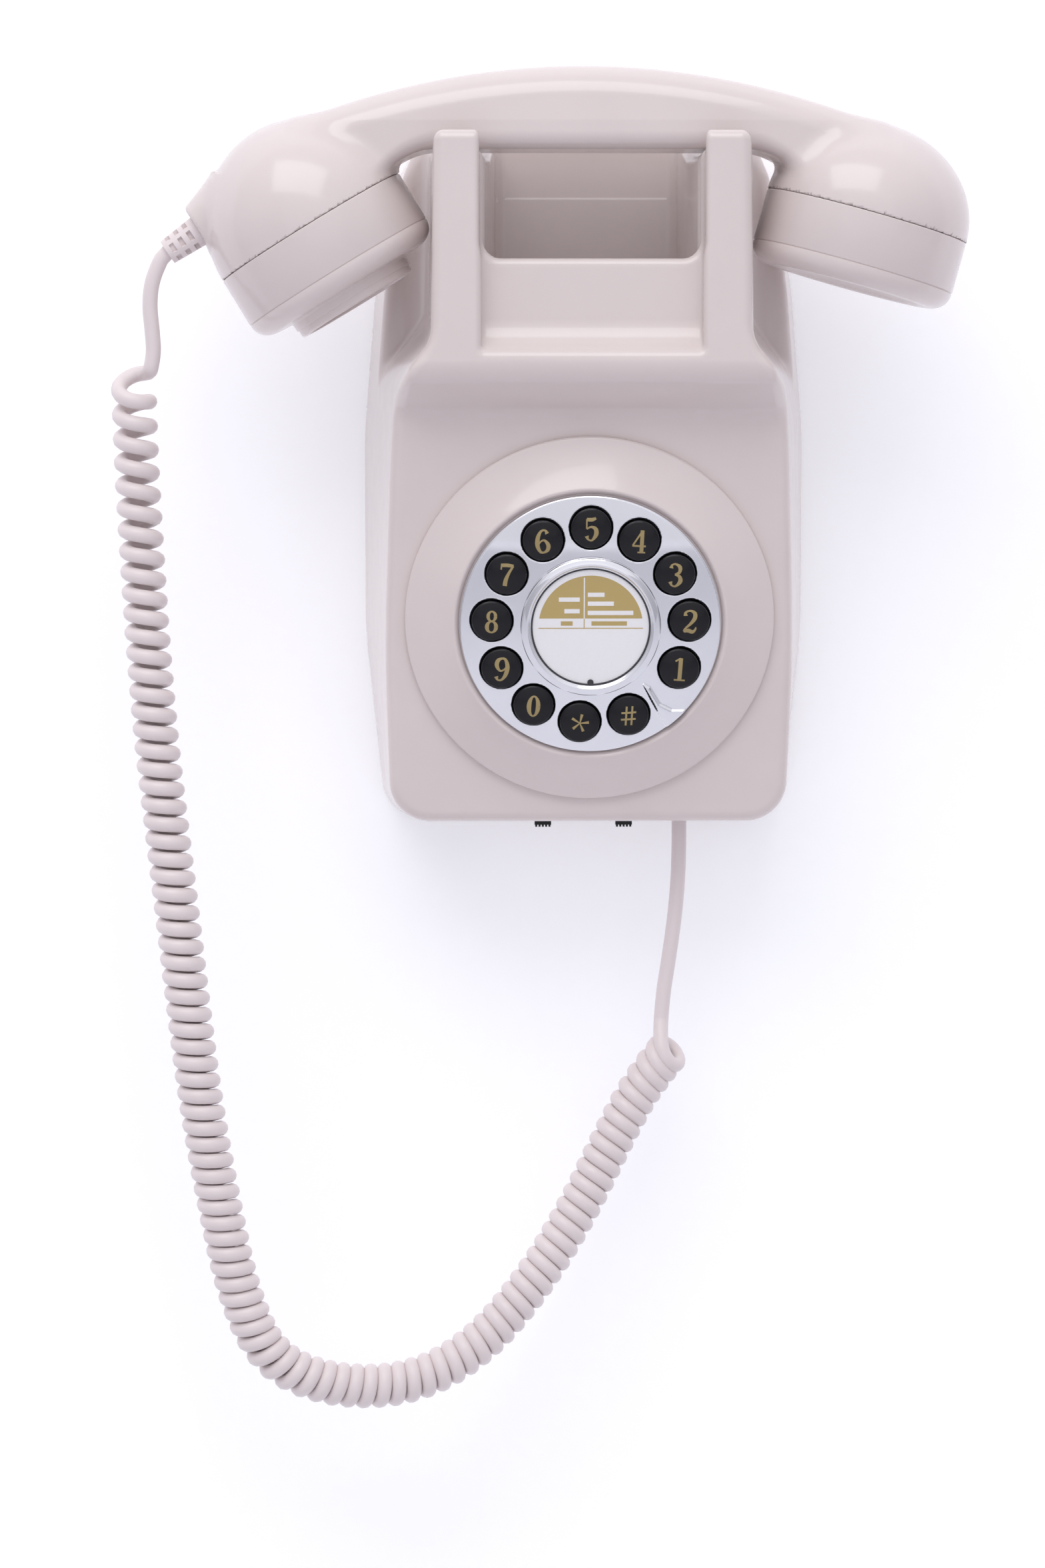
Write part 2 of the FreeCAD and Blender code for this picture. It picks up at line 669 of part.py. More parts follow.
# ---- cord ----------------------------------------------------------------------------------------
# Points are (x, depth, z). The cord hangs in the plane from the handset down to the base's gland.
TAIL_ROUTE = [(-122.8, 60.0, 66.0), (-125.7, 60.0, 60.6), (-126.9, 59.6, 52.5), (-126.0, 59.2, 44.0),
              (-125.6, 58.6, 36.6), (-127.6, 58.2, 30.0)]
COIL_ROUTE = [(-131.6, 58.0, 31.5), (-131.2, 57.6, 12.0), (-129.9, 57.2, -14.0), (-128.0, 56.8, -46.0),
              (-125.4, 56.2, -78.0), (-121.4, 55.6, -112.0), (-117.6, 54.8, -146.0), (-113.6, 54.0, -180.0),
              (-108.0, 53.0, -212.0), (-102.6, 51.8, -238.0), (-93.8, 50.2, -257.6), (-75.2, 46.8, -266.2),
              (-52.0, 42.4, -266.4), (-32.8, 38.6, -256.6), (-16.8, 35.4, -238.8), (-2.6, 32.2, -216.4),
              (9.6, 29.2, -191.6), (17.8, 27.4, -177.2), (26.0, 26.4, -167.6)]
LEAD_ROUTE = [(27.8, 25.0, -99.8), (27.9, 25.0, -111.6), (26.9, 25.2, -126.5), (24.9, 25.6, -141.0),
              (22.7, 26.0, -154.5), (22.2, 26.2, -166.4)]


def cord_tube(name, route, radius):
    """A round tube along straight runs joined by tangent arcs, each as large as its two runs allow."""
    points = [at(*point) for point in route]
    edges = []
    radii = []
    here = points[0]
    for before, corner, after in zip(points, points[1:], points[2:]):
        back = before - corner
        ahead = after - corner
        shorter = min(back.Length, ahead.Length)
        back.normalize()
        ahead.normalize()
        half = back.getAngle(ahead) / 2
        reach = 0.45 * shorter
        bend = reach * math.tan(half)
        radii.append(bend)
        middle = back + ahead
        middle.normalize()
        enter = corner + back * reach
        leave = corner + ahead * reach
        edges.append(Part.LineSegment(here, enter).toShape())
        edges.append(Part.Arc(enter, corner + middle * (bend / math.sin(half) - bend), leave).toShape())
        here = leave
    edges.append(Part.LineSegment(here, points[-1]).toShape())
    path = Part.Wire(edges)
    start = points[1] - points[0]
    ring = Part.Wire(Part.makeCircle(radius, points[0], start))
    tube = path.makePipeShell([ring], True, False, 0)
    ratio = tube.Volume / (math.pi * radius ** 2 * path.Length)
    print(name, "length", round(path.Length, 1), "volume ratio", round(ratio, 4),
          "radii", [round(bend, 1) for bend in radii])
    return tube


# ---- write every part ----------------------------------------------------------------------------
KEY_NAMES = ["key_1", "key_2", "key_3", "key_4", "key_5", "key_6", "key_7", "key_8", "key_9", "key_0",
             "key_star", "key_hash"]

parts["front_case"] = front_case()
parts["back_plate"] = back_plate()
parts["case_screws"] = case_screws()
parts["dial_ring"] = dial_ring()
parts["finger_plate"] = finger_plate()
parts["centre_bezel"] = centre_bezel()
parts["label_card"] = label_card()
parts["label_lens"] = label_lens()
for key_name, key_angle in zip(KEY_NAMES, key_angles()):
    parts[key_name] = key_cap(key_angle)
parts["keypad_mat"] = keypad_mat()
parts["keypad_board"] = keypad_board()
parts["main_board"] = main_board()
parts["board_pillars"] = board_pillars()
parts["board_screws"] = board_screws()
for switch_name, switch_x in SWITCH_X.items():
    parts[switch_name + "_switch"] = slide_switch(switch_x)
    parts[switch_name + "_knob"] = switch_knob(switch_x)
parts["line_jack"] = line_jack()
parts["cord_gland"] = cord_gland()
parts["hook_yoke"] = hook_yoke()
parts["hook_spring"] = hook_spring()
parts["hook_bracket"] = hook_bracket()
parts["hook_switch"] = hook_switch()
parts["gong_large"] = gong(*GONG_LARGE)
parts["gong_small"] = gong(*GONG_SMALL)
parts["ringer_bracket"] = ringer_bracket()
parts["ringer_coil"] = ringer_coil()
parts["clapper"] = clapper()
parts["handset_body"] = handset_body()
parts["mouth_cap"] = cap(MOUTH_CENTRE, MOUTH_TILT, True)
parts["ear_cap"] = cap(EAR_CENTRE, EAR_TILT, False)
parts["microphone_capsule"] = capsule(MOUTH_CENTRE, MOUTH_TILT, 20.0, 2.0, 9.0)
parts["receiver_capsule"] = capsule(EAR_CENTRE, EAR_TILT, 22.0, 1.0, 10.0)
parts["handset_weight"] = handset_weight()
parts["strain_relief"] = strain_relief()
parts["cord_tail"] = cord_tube("cord_tail", TAIL_ROUTE, WIRE_R)
parts["cord_coil"] = cord_tube("cord_coil", COIL_ROUTE, COIL_R)
parts["cord_lead"] = cord_tube("cord_lead", LEAD_ROUTE, WIRE_R)

for part_name, shape in parts.items():
    shape.exportStep("parts/" + part_name + ".step")
    print(part_name, "valid" if shape.isValid() else "NOT VALID", len(shape.Solids), "solid(s)",
          round(shape.Volume / 1000, 2), "cm3")
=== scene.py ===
import math

import bpy
import numpy as np
from mathutils import Matrix, Vector


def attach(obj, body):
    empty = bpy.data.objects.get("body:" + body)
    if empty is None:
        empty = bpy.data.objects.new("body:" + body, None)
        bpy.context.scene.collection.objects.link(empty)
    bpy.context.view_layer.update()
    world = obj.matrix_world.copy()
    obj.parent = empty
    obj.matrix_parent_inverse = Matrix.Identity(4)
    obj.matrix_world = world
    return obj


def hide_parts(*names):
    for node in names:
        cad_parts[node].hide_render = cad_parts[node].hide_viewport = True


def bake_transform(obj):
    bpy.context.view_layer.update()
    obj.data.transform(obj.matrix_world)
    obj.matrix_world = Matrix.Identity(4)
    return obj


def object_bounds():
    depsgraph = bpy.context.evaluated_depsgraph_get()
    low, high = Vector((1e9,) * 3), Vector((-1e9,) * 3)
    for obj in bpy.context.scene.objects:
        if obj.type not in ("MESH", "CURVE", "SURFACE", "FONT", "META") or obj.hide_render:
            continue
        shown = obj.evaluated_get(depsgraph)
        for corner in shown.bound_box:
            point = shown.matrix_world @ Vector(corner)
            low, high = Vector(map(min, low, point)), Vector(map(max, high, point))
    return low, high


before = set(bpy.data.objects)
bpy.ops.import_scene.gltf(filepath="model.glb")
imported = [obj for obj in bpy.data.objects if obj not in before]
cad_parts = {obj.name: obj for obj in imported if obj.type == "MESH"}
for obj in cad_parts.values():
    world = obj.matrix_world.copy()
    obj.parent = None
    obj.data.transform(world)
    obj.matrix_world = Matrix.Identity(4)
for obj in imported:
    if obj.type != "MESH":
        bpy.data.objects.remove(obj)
cad_low, cad_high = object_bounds()

# Slimline push-button wall phone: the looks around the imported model.
# Shapes are worked out in millimetres as (x, depth, z), where depth is measured out of the wall, and every
# mesh is written in metres with Y = -depth.
MM = 0.001

# ---- sizes shared by several pieces ----
SKIN = 2.4                              # case wall
OUTLINE_DEPTH = 90.0                    # depth of the front outline
PRONG_IN = 31.5                         # half the gap between the prongs
CASE_FRONT = 87.0
PANEL_FRONT = 80.0
BROW_LOW = np.array([70.5, 20.8])       # depth and z where the brow meets the dial face
FACE_LOW = np.array([51.0, -98.1])      # depth and z at the bottom of the dial face
face_slope = (BROW_LOW[0] - FACE_LOW[0]) / (BROW_LOW[1] - FACE_LOW[1])
face_angle = math.atan(face_slope)

DIAL_Z = -38.25
DIAL_DEPTH = FACE_LOW[0] + (DIAL_Z - FACE_LOW[1]) * face_slope
DIAL_HOLE_R = 41.0
DISC_R = 53.4
CHROME_R = 37.6
KEY_CIRCLE_R = 28.5
KEY_STEP = 29.0
KEY_FIRST = -26.0
KEY_R = 5.75
KEY_HOLE_R = 6.1
LABEL_R = 17.0
BEZEL_R = 20.2

HANDSET_DEPTH = 60.0
CAP_R = 29.7
MOUTH = {"centre": (-80.25, 74.15), "tilt": 31.4, "dome": 31.7}
EAR = {"centre": (79.85, 77.45), "tilt": -15.6, "dome": 26.8}
RELIEF_END = np.array([-121.5, HANDSET_DEPTH, 67.0])
RELIEF_LENGTH = 11.5
relief_slope = math.radians(34.2)
RELIEF_AXIS = np.array([-math.cos(relief_slope), 0.0, -math.sin(relief_slope)])

WIRE_R = 2.25
COIL_MEAN_R = 4.4
EXIT = (27.8, 25.0)                     # x and depth where the cord leaves the base
GLAND_HOLE_R = 4.45
JACK = (-39.6, 13.0)
JACK_HALF = (6.0, 5.0)                  # half its opening, along x and in depth
SWITCH_X = (-12.85, 11.1)
SWITCH_DEPTH = 30.0
SWITCH_HALF = (5.5, 2.0)
PLUNGER = (38.4, 56.0)
PLUNGER_HOLE_R = 2.55
BOSSES = [(-50, -80), (50, -80), (-53, 48), (53, 48)]
BOSS_R = 3.6
SCREW_R = 1.6


def metres(points):
    """(x, depth, z) in millimetres to a frame place in metres."""
    points = np.asarray(points, float)
    return points * np.array([1.0, -1.0, 1.0]) * MM


# ---- meshes ----
def new_object(name, data):
    """An object of this data, in the scene."""
    made = bpy.data.objects.new(name, data)
    bpy.context.scene.collection.objects.link(made)
    return made


def add_mesh(name, points, faces, material, body, normals=None):
    """A shown piece from points in frame metres. Normals, one per point, shade a dense skin smoothly."""
    mesh = bpy.data.meshes.new(name)
    faces = faces.tolist() if isinstance(faces, np.ndarray) else faces
    mesh.from_pydata(np.asarray(points).tolist(), [], faces)
    mesh.validate()
    mesh.shade_smooth()
    if normals is not None:
        mesh.normals_split_custom_set_from_vertices(np.asarray(normals).tolist())
    piece = new_object(name, mesh)
    mesh.materials.append(material)
    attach(piece, body)
    return piece


def sharpen(piece, degrees=32):
    """Smooth shading, except across edges that turn by more than this."""
    piece.data.set_sharp_from_angle(angle=math.radians(degrees))
    return piece


def axis_frame(origin, axis, side):
    """4 x 4 matrix that takes local (side, across, axis) millimetres to frame metres."""
    axis = Vector(axis).normalized()
    side = Vector(side).normalized()
    across = axis.cross(side)
    turn = Matrix((side, across, axis)).transposed().to_4x4()
    return Matrix.Translation(Vector(origin)) @ turn @ Matrix.Diagonal((MM, MM, MM, 1))


def headings(points):
    """Unit directions along a run of points."""
    ahead = np.gradient(points, axis=0)
    return ahead / np.linalg.norm(ahead, axis=1)[:, None]


def placed(points, matrix):
    points = np.asarray(points, float)
    matrix = np.array(matrix)
    return points @ matrix[:3, :3].T + matrix[:3, 3]


def joined(parts):
    """One list of points and one of faces from several (points, faces)."""
    points = []
    faces = []
    for part_points, part_faces in parts:
        faces += [[index + len(points) for index in face] for face in part_faces]
        points += list(part_points)
    return points, faces


def lathe_mesh(profile, segments):
    """Points and faces of a profile of (radius, height) turned about the local axis. It is closed where it
    meets the axis or returns to its start."""
    profile = [tuple(point) for point in profile]
    rows = []
    points = []
    for radius, height in profile:
        if radius < 1e-6:
            rows.append([len(points)] * segments)
            points.append((0.0, 0.0, height))
            continue
        rows.append(list(range(len(points), len(points) + segments)))
        for step in range(segments):
            turn = 2 * math.pi * step / segments
            points.append((radius * math.cos(turn), radius * math.sin(turn), height))
    if profile[0][0] > 1e-6:
        rows.append(rows[0])
    faces = []
    for lower, upper in zip(rows, rows[1:]):
        for step in range(segments):
            after = (step + 1) % segments
            ring = [lower[step], lower[after], upper[after], upper[step]]
            face = [index for place, index in enumerate(ring) if index not in ring[:place]]
            if len(face) > 2:
                faces.append(face)
    return points, faces


def arc(centre, radius, start, end, steps=6):
    """Profile points along an arc, angles in degrees from the radius direction towards the height."""
    turns = [math.radians(start + (end - start) * step / steps) for step in range(steps + 1)]
    return [(centre[0] + radius * math.cos(turn), centre[1] + radius * math.sin(turn)) for turn in turns]


# ---- fields: distance-like values, negative inside ----
def round_max(a, b, radius):
    """Intersection of two fields with a rounded edge."""
    beyond = np.hypot(np.maximum(a + radius, 0), np.maximum(b + radius, 0))
    return np.minimum(np.maximum(a, b), -radius) + beyond


def round_min(a, b, radius):
    """Union of two fields with a rounded inner corner."""
    return -round_max(-a, -b, radius)


def soft_min(a, b, reach):
    """Union of two fields that swell into each other."""
    share = np.maximum(reach - np.abs(a - b), 0) / reach
    return np.minimum(a, b) - share * share * reach / 4


def cut(field, hole, end):
    """Take away a hole that stops where the second field turns positive."""
    return np.maximum(field, -np.maximum(hole, end))


def edge_radius(radius, turn):
    """The round_max radius that gives this fillet radius between planes that turn by an angle in radians."""
    return radius * (1 - math.cos(turn / 2)) / (1 - math.cos(math.pi / 4))


def gradient(field, points, step=0.06):
    slope = np.empty_like(points)
    for axis, nudge in enumerate(step * np.eye(3)):
        ahead = field(*(points + nudge).T)
        behind = field(*(points - nudge).T)
        slope[:, axis] = (ahead - behind) / (2 * step)
    return slope


def skin_mesh(field, low, high, step):
    """Surface nets: one point in each grid cell that the surface crosses, moved onto the surface, and a
    four-sided face round each grid edge that crosses it. Returns points, faces and normals."""
    axes = [np.arange(a, b + step, step) for a, b in zip(low, high)]
    grid = np.meshgrid(*axes, indexing="ij", sparse=True)
    inside = field(*grid) < 0
    size = np.array(inside.shape) - 1
    corner_count = np.zeros(size, np.int8)
    for i, j, k in np.ndindex(2, 2, 2):
        corner_count += inside[i:i + size[0], j:j + size[1], k:k + size[2]]
    crossed = (corner_count > 0) & (corner_count < 8)
    number = np.full(crossed.shape, -1)
    number[crossed] = np.arange(crossed.sum())
    centres = np.array(low) + (np.argwhere(crossed) + 0.5) * step
    points = centres.copy()
    for _ in range(4):
        slope = gradient(field, points)
        strength = np.maximum((slope ** 2).sum(1), 0.05)
        move = slope * (field(*points.T) / strength)[:, None]
        points -= np.clip(move, -0.5 * step, 0.5 * step)
        points = np.clip(points, centres - 0.75 * step, centres + 0.75 * step)
    faces = []
    for axis in range(3):
        near = np.take(inside, range(inside.shape[axis] - 1), axis)
        far = np.take(inside, range(1, inside.shape[axis]), axis)
        u, v = [other for other in range(3) if other != axis]
        edges = np.argwhere(near != far)
        limits = np.array(number.shape)
        keep = (edges[:, u] > 0) & (edges[:, v] > 0) & (edges[:, u] < limits[u]) & (edges[:, v] < limits[v])
        edges = edges[keep]
        leaves = near[tuple(edges.T)]
        back_u, back_v = np.eye(3, dtype=int)[[u, v]]
        places = (edges - back_u - back_v, edges - back_v, edges, edges - back_u)
        quads = np.stack([number[tuple(place.T)] for place in places], 1)
        flip = leaves if axis == 1 else ~leaves
        quads[flip] = quads[flip][:, ::-1]
        faces.append(quads)
    slope = gradient(field, points)
    normals = slope / np.maximum(np.linalg.norm(slope, axis=1), 1e-9)[:, None]
    return points, np.concatenate(faces), normals


def add_skin(name, field, low, high, step, material, body):
    """A piece from a field over (x, depth, z)."""
    points, faces, normals = skin_mesh(field, low, high, step)
    normals = normals * np.array([1, -1, 1])
    return add_mesh(name, metres(points), faces[:, ::-1], material, body, normals)


# ---- materials ----
def srgb(red, green, blue):
    """0-255 screen values to the linear colour that a shader takes."""
    values = [channel / 255 for channel in (red, green, blue)]
    return tuple(c / 12.92 if c <= 0.04045 else ((c + 0.055) / 1.055) ** 2.4 for c in values) + (1.0,)


def new_material(name):
    material = bpy.data.materials.new(name)
    material.use_nodes = True
    nodes = material.node_tree.nodes
    return material, nodes, material.node_tree.links, nodes["Principled BSDF"]


def noise(nodes, links, scale, detail=3.0, roughness=0.55):
    """Noise over the frame's own coordinates. Scale is in features per metre."""
    place = nodes.new("ShaderNodeTexCoord")
    texture = nodes.new("ShaderNodeTexNoise")
    texture.inputs["Scale"].default_value = scale
    texture.inputs["Detail"].default_value = detail
    texture.inputs["Roughness"].default_value = roughness
    links.new(place.outputs["Object"], texture.inputs["Vector"])
    return texture.outputs["Fac"]


def ramp(nodes, links, value, stops):
    """Colours along a value. Stops are (position, colour)."""
    node = nodes.new("ShaderNodeValToRGB")
    elements = node.color_ramp.elements
    for element, (position, colour) in zip(elements, stops):
        element.position = position
        element.color = colour
    for position, colour in stops[len(elements):]:
        elements.new(position).color = colour
    links.new(value, node.inputs["Fac"])
    return node.outputs["Color"]


def spread(nodes, links, value, low, high):
    node = nodes.new("ShaderNodeMapRange")
    node.inputs["To Min"].default_value = low
    node.inputs["To Max"].default_value = high
    links.new(value, node.inputs["Value"])
    return node.outputs["Result"]


def bump(nodes, links, shader, value, distance, strength=0.5):
    node = nodes.new("ShaderNodeBump")
    node.inputs["Strength"].default_value = strength
    node.inputs["Distance"].default_value = distance
    links.new(value, node.inputs["Height"])
    links.new(node.outputs["Normal"], shader.inputs["Normal"])


def mix_shaders(material, links, share, first, second):
    """The material's output: all of the first shader at a share of 0, all of the second at 1."""
    nodes = material.node_tree.nodes
    mix = nodes.new("ShaderNodeMixShader")
    links.new(share, mix.inputs["Fac"])
    links.new(first.outputs["BSDF"], mix.inputs[1])
    links.new(second.outputs["BSDF"], mix.inputs[2])
    links.new(mix.outputs["Shader"], nodes["Material Output"].inputs["Surface"])


def shaded(colour, factor):
    return tuple(channel * factor for channel in colour[:3]) + (1.0,)


def plastic(name, colour, rough, variation=0.03, peel=0.000010, grain=900.0, coat=0.0,
            specular=0.5):
    """Moulded plastic: faintly clouded colour, a fine uneven surface, and gloss that varies."""
    material, nodes, links, shader = new_material(name)
    cloud = noise(nodes, links, 38.0)
    tint = ramp(nodes, links, cloud,
                [(0.3, shaded(colour, 1 - variation)), (0.7, shaded(colour, 1 + variation))])
    links.new(tint, shader.inputs["Base Color"])
    handling = noise(nodes, links, 120.0, 5.0)
    links.new(spread(nodes, links, handling, rough - 0.04, rough + 0.05), shader.inputs["Roughness"])
    bump(nodes, links, shader, noise(nodes, links, grain, 2.0), peel)
    shader.inputs["Specular IOR Level"].default_value = specular
    shader.inputs["Coat Weight"].default_value = coat
    shader.inputs["Coat Roughness"].default_value = 0.05
    return material


def metal(name, colour, rough, grain=500.0, peel=0.000003):
    """Bare or plated metal, with faint smears in its polish."""
    material, nodes, links, shader = new_material(name)
    shader.inputs["Metallic"].default_value = 1.0
    smear = noise(nodes, links, 60.0, 4.0)
    tint = ramp(nodes, links, smear, [(0.25, shaded(colour, 0.95)), (0.75, colour)])
    links.new(tint, shader.inputs["Base Color"])
    links.new(spread(nodes, links, noise(nodes, links, 240.0, 5.0), rough * 0.7, rough * 1.5),
              shader.inputs["Roughness"])
    bump(nodes, links, shader, noise(nodes, links, grain, 2.0), peel, 0.3)
    return material


def printed(name, colour, rough=0.45):
    """Ink or card: an even colour with a fine fibre."""
    material, nodes, links, shader = new_material(name)
    fibre = noise(nodes, links, 2600.0, 4.0)
    tint = ramp(nodes, links, fibre, [(0.35, shaded(colour, 0.96)), (0.65, colour)])
    links.new(tint, shader.inputs["Base Color"])
    links.new(spread(nodes, links, fibre, rough, rough + 0.1), shader.inputs["Roughness"])
    return material


def clear_sheet(name):
    """Thin clear plastic: light passes straight through, and its surface still shines."""
    material, nodes, links, shader = new_material(name)
    nodes.remove(shader)
    through = nodes.new("ShaderNodeBsdfTransparent")
    shine = nodes.new("ShaderNodeBsdfGlossy")
    scratches = noise(nodes, links, 700.0, 4.0)
    links.new(spread(nodes, links, scratches, 0.02, 0.08), shine.inputs["Roughness"])
    slant = nodes.new("ShaderNodeLayerWeight")
    slant.inputs["Blend"].default_value = 0.15
    share = spread(nodes, links, slant.outputs["Facing"], 0.02, 0.3)
    mix_shaders(material, links, share, through, shine)
    return material


BODY_COLOUR = srgb(218, 206, 203)
body_plastic = plastic("body_plastic", BODY_COLOUR, 0.2, 0.015, coat=0.25)
cord_plastic = plastic("cord_plastic", srgb(226, 215, 214), 0.34, 0.02, 0.000006, 1600.0)
black_plastic = plastic("black_plastic", srgb(20, 20, 24), 0.18, 0.1, specular=0.3)
matt_black = plastic("matt_black", srgb(30, 30, 33), 0.5, 0.1, 0.00003, 2200.0)
grey_rubber = plastic("grey_rubber", srgb(120, 118, 118), 0.7, 0.05, 0.00003, 1800.0)
board_green = plastic("board_green", srgb(38, 92, 62), 0.4, 0.12, 0.00002, 1500.0)
base_plastic = plastic("base_plastic", srgb(196, 187, 185), 0.45, 0.03, 0.00003, 1400.0)
chrome = metal("chrome", (0.86, 0.86, 0.9, 1.0), 0.07)
steel = metal("steel", (0.56, 0.57, 0.6, 1.0), 0.3, 900.0, 0.00001)
brass = metal("brass", (0.72, 0.52, 0.24, 1.0), 0.3)
key_gold = printed("key_gold", srgb(156, 137, 92), 0.35)
label_white = printed("label_white", srgb(247, 245, 246))
label_gold = printed("label_gold", srgb(192, 167, 101), 0.4)
label_black = printed("label_black", srgb(26, 26, 30), 0.3)
clear_plastic = clear_sheet("clear_plastic")


# ---- front case ----
BROW_TOP = (CASE_FRONT, 31.5)           # depth and z
TROUGH_LEDGE_Z = 83.7
TUB_DEPTH = 27.0
WING_FRONT_DEPTH = 95.0
# A wing's edge: x and z of the corner between prong and shoulder, the prong's lean, the shoulder's run.
WING_REAR = ((46.4, 49.5), 0.0066, (43.0, 35.6), 55.8)
WING_FRONT = ((45.7, 40.2), 0.013, (45.7, 36.3), 58.4)
# Right half of the outline, bottom to top: x and z at the wall, x and z at the front, fillet radius.
OUTLINE = [
    ((59.5, -101.5), (56.0, -95.5), 13.0),
    ((65.6, -45.0), (55.6, -45.0), 150.0),
    ((65.8, 15.0), (54.2, 15.0), 150.0),
    ((62.2, 60.0), (51.5, 60.0), 90.0),
    ((55.6, 90.5), (49.5, 90.5), 8.0),
    ((51.0, 98.8), (47.5, 101.2), 4.0),
]


def block_field(x, depth, z):
    """The drafted block that the outline sweeps from the wall to the front."""
    x = np.abs(x)
    share = depth / OUTLINE_DEPTH

    def corner(index):
        wall, front, _ = OUTLINE[index]
        return [wall[i] + (front[i] - wall[i]) * share for i in (0, 1)]

    def heading(start, end):
        return math.atan2(end[1] - start[1], end[0] - start[0])

    field = corner(0)[1] - z
    before = 0.0
    for index, (wall, _, radius) in enumerate(OUTLINE):
        start = corner(index)
        if index + 1 < len(OUTLINE):
            end = corner(index + 1)
            after = heading(wall, OUTLINE[index + 1][0])
        else:
            end = [start[0] - 10, start[1]]
            after = math.pi
        run_x = end[0] - start[0]
        run_z = end[1] - start[1]
        side = ((x - start[0]) * run_z - (z - start[1]) * run_x) / np.hypot(run_x, run_z)
        field = round_max(field, side, edge_radius(radius, after - before))
        before = after
    return field


def plane_below(depth, z, start, end):
    """Distance to a line in the side view, positive on its outer (lower or front) side."""
    run = np.array(end, float) - np.array(start, float)
    run /= np.hypot(*run)
    return (depth - start[0]) * run[1] - (z - start[1]) * run[0]


def side_field(depth, z):
    """Dial face, brow and the front of the prongs."""
    face = plane_below(depth, z, FACE_LOW, BROW_LOW)
    brow = plane_below(depth, z, BROW_LOW, BROW_TOP)
    return round_max(round_min(face, brow, 2.5), depth - CASE_FRONT, 3.7)


def wing_edge(x, z, edge):
    """Distances from the prong's side and from the shoulder, for the edge at one depth."""
    (corner_x, corner_z), lean, (across, up), length = edge
    prong = x - (corner_x - lean * (z - corner_z))
    return prong, ((x - corner_x) * across + (z - corner_z) * up) / length


def wing_field(x, depth, z):
    """Everything beside the open space next to each prong: prong, tub behind, shoulder below."""
    x = np.abs(x)
    share = (depth - TUB_DEPTH) / (WING_FRONT_DEPTH - TUB_DEPTH)
    prong, shoulder = [rear + (front - rear) * share
                       for rear, front in zip(wing_edge(x, z, WING_REAR), wing_edge(x, z, WING_FRONT))]
    return round_min(round_min(prong, depth - TUB_DEPTH, 9.0), shoulder, 2.0)


def trough_fields(x, depth, z):
    """The hand hold behind the panel, the window over it, and the recess in front of it."""
    x = np.abs(x)
    pocket_half = PRONG_IN - 4.8 + 4.0 * (depth - 19.0) / 57.0
    pocket = round_max(x - pocket_half, 40.0 - z, 6.0)
    rear = np.where(z > TROUGH_LEDGE_Z, 18.3, 19.0)
    pocket = round_max(pocket, rear - depth, 3.0)
    pocket = np.maximum(pocket, depth - 76.0)
    window_half = PRONG_IN - 0.9 + 1.3 * (depth - 74.0) / 21.0
    window = round_max(x - window_half, 64.9 - z, 5.0)
    window = np.maximum(window, 74.0 - depth)
    floor = 39.0 - 0.089 * (depth - PANEL_FRONT) - z
    recess = round_max(PANEL_FRONT - depth, floor, 8.5)
    recess = round_max(recess, x - PRONG_IN, 1.2)
    return pocket, window, recess


def saddle_field(x, depth, z):
    """The shallow U that the handle lies in."""
    bed = np.maximum(94.8 + 0.0027 * (depth - 58.0) ** 2, 95.4 + 0.342 * (44.0 - depth)) - z
    bed = round_max(bed, depth - 82.4, 2.2)
    bed = round_max(bed, 29.0 - depth, 4.0)
    return np.maximum(bed, np.abs(x) - 50.0)


def case_outside(x, depth, z):
    field = round_max(block_field(x, depth, z), side_field(depth, z) + 0 * x, 3.0)
    field = round_max(field, wing_field(x, depth, z), 3.0)
    pocket, window, recess = trough_fields(x, depth, z)
    field = round_max(field, -recess, 2.0)
    field = round_max(field, -pocket, 1.6)
    field = round_max(field, -window, 2.2)
    return round_max(field, -saddle_field(x, depth, z), 3.0)


def on_face(x, depth, z):
    """Distance from the dial's axis, and height over the dial face."""
    out = depth - DIAL_DEPTH
    up = z - DIAL_Z
    rise = out * math.cos(face_angle) - up * math.sin(face_angle)
    along = out * math.sin(face_angle) + up * math.cos(face_angle)
    return np.hypot(x, along), rise


def case_field(x, depth, z):
    outside = case_outside(x, depth, z)
    field = np.maximum(outside, -(outside + SKIN))
    for boss_x, boss_z in BOSSES:
        boss = np.hypot(x - boss_x, z - boss_z)
        column = np.maximum(np.maximum(boss - BOSS_R, 2.8 - depth), outside + 0.6)
        field = cut(np.minimum(field, column), boss - SCREW_R, depth - 14.0)
    radius, rise = on_face(x, depth, z)
    field = cut(field, radius - DIAL_HOLE_R, np.abs(rise) - 8.0)
    field = cut(field, np.hypot(np.abs(x) - PLUNGER[0], depth - PLUNGER[1]) - PLUNGER_HOLE_R, 80.0 - z)
    field = cut(field, np.hypot(x - EXIT[0], depth - EXIT[1]) - GLAND_HOLE_R, z + 90.0)
    slots = [((knob_x, SWITCH_DEPTH), SWITCH_HALF, z + 90.0) for knob_x in SWITCH_X]
    for middle, half, end in slots + [(JACK, JACK_HALF, z + 92.0)]:
        slot = np.maximum(np.abs(x - middle[0]) - half[0], np.abs(depth - middle[1]) - half[1])
        field = cut(field, slot, end)
    return round_max(field, -depth, 0.3)


case = add_skin("case_skin", case_field, (-68.0, -1.0, -104.0), (68.0, 89.0, 103.0), 0.9,
                body_plastic, "base")
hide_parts("front_case")


# ---- handset ----
def cup_places(cup, x, depth, z):
    """Places in a cup's own frame: along its joint line, out of the handset's plane, down to its cap."""
    turn = math.radians(cup["tilt"])
    dx = x - cup["centre"][0]
    dz = z - cup["centre"][1]
    along = dx * math.cos(turn) + dz * math.sin(turn)
    down = dx * math.sin(turn) - dz * math.cos(turn)
    return along, depth - HANDSET_DEPTH, down


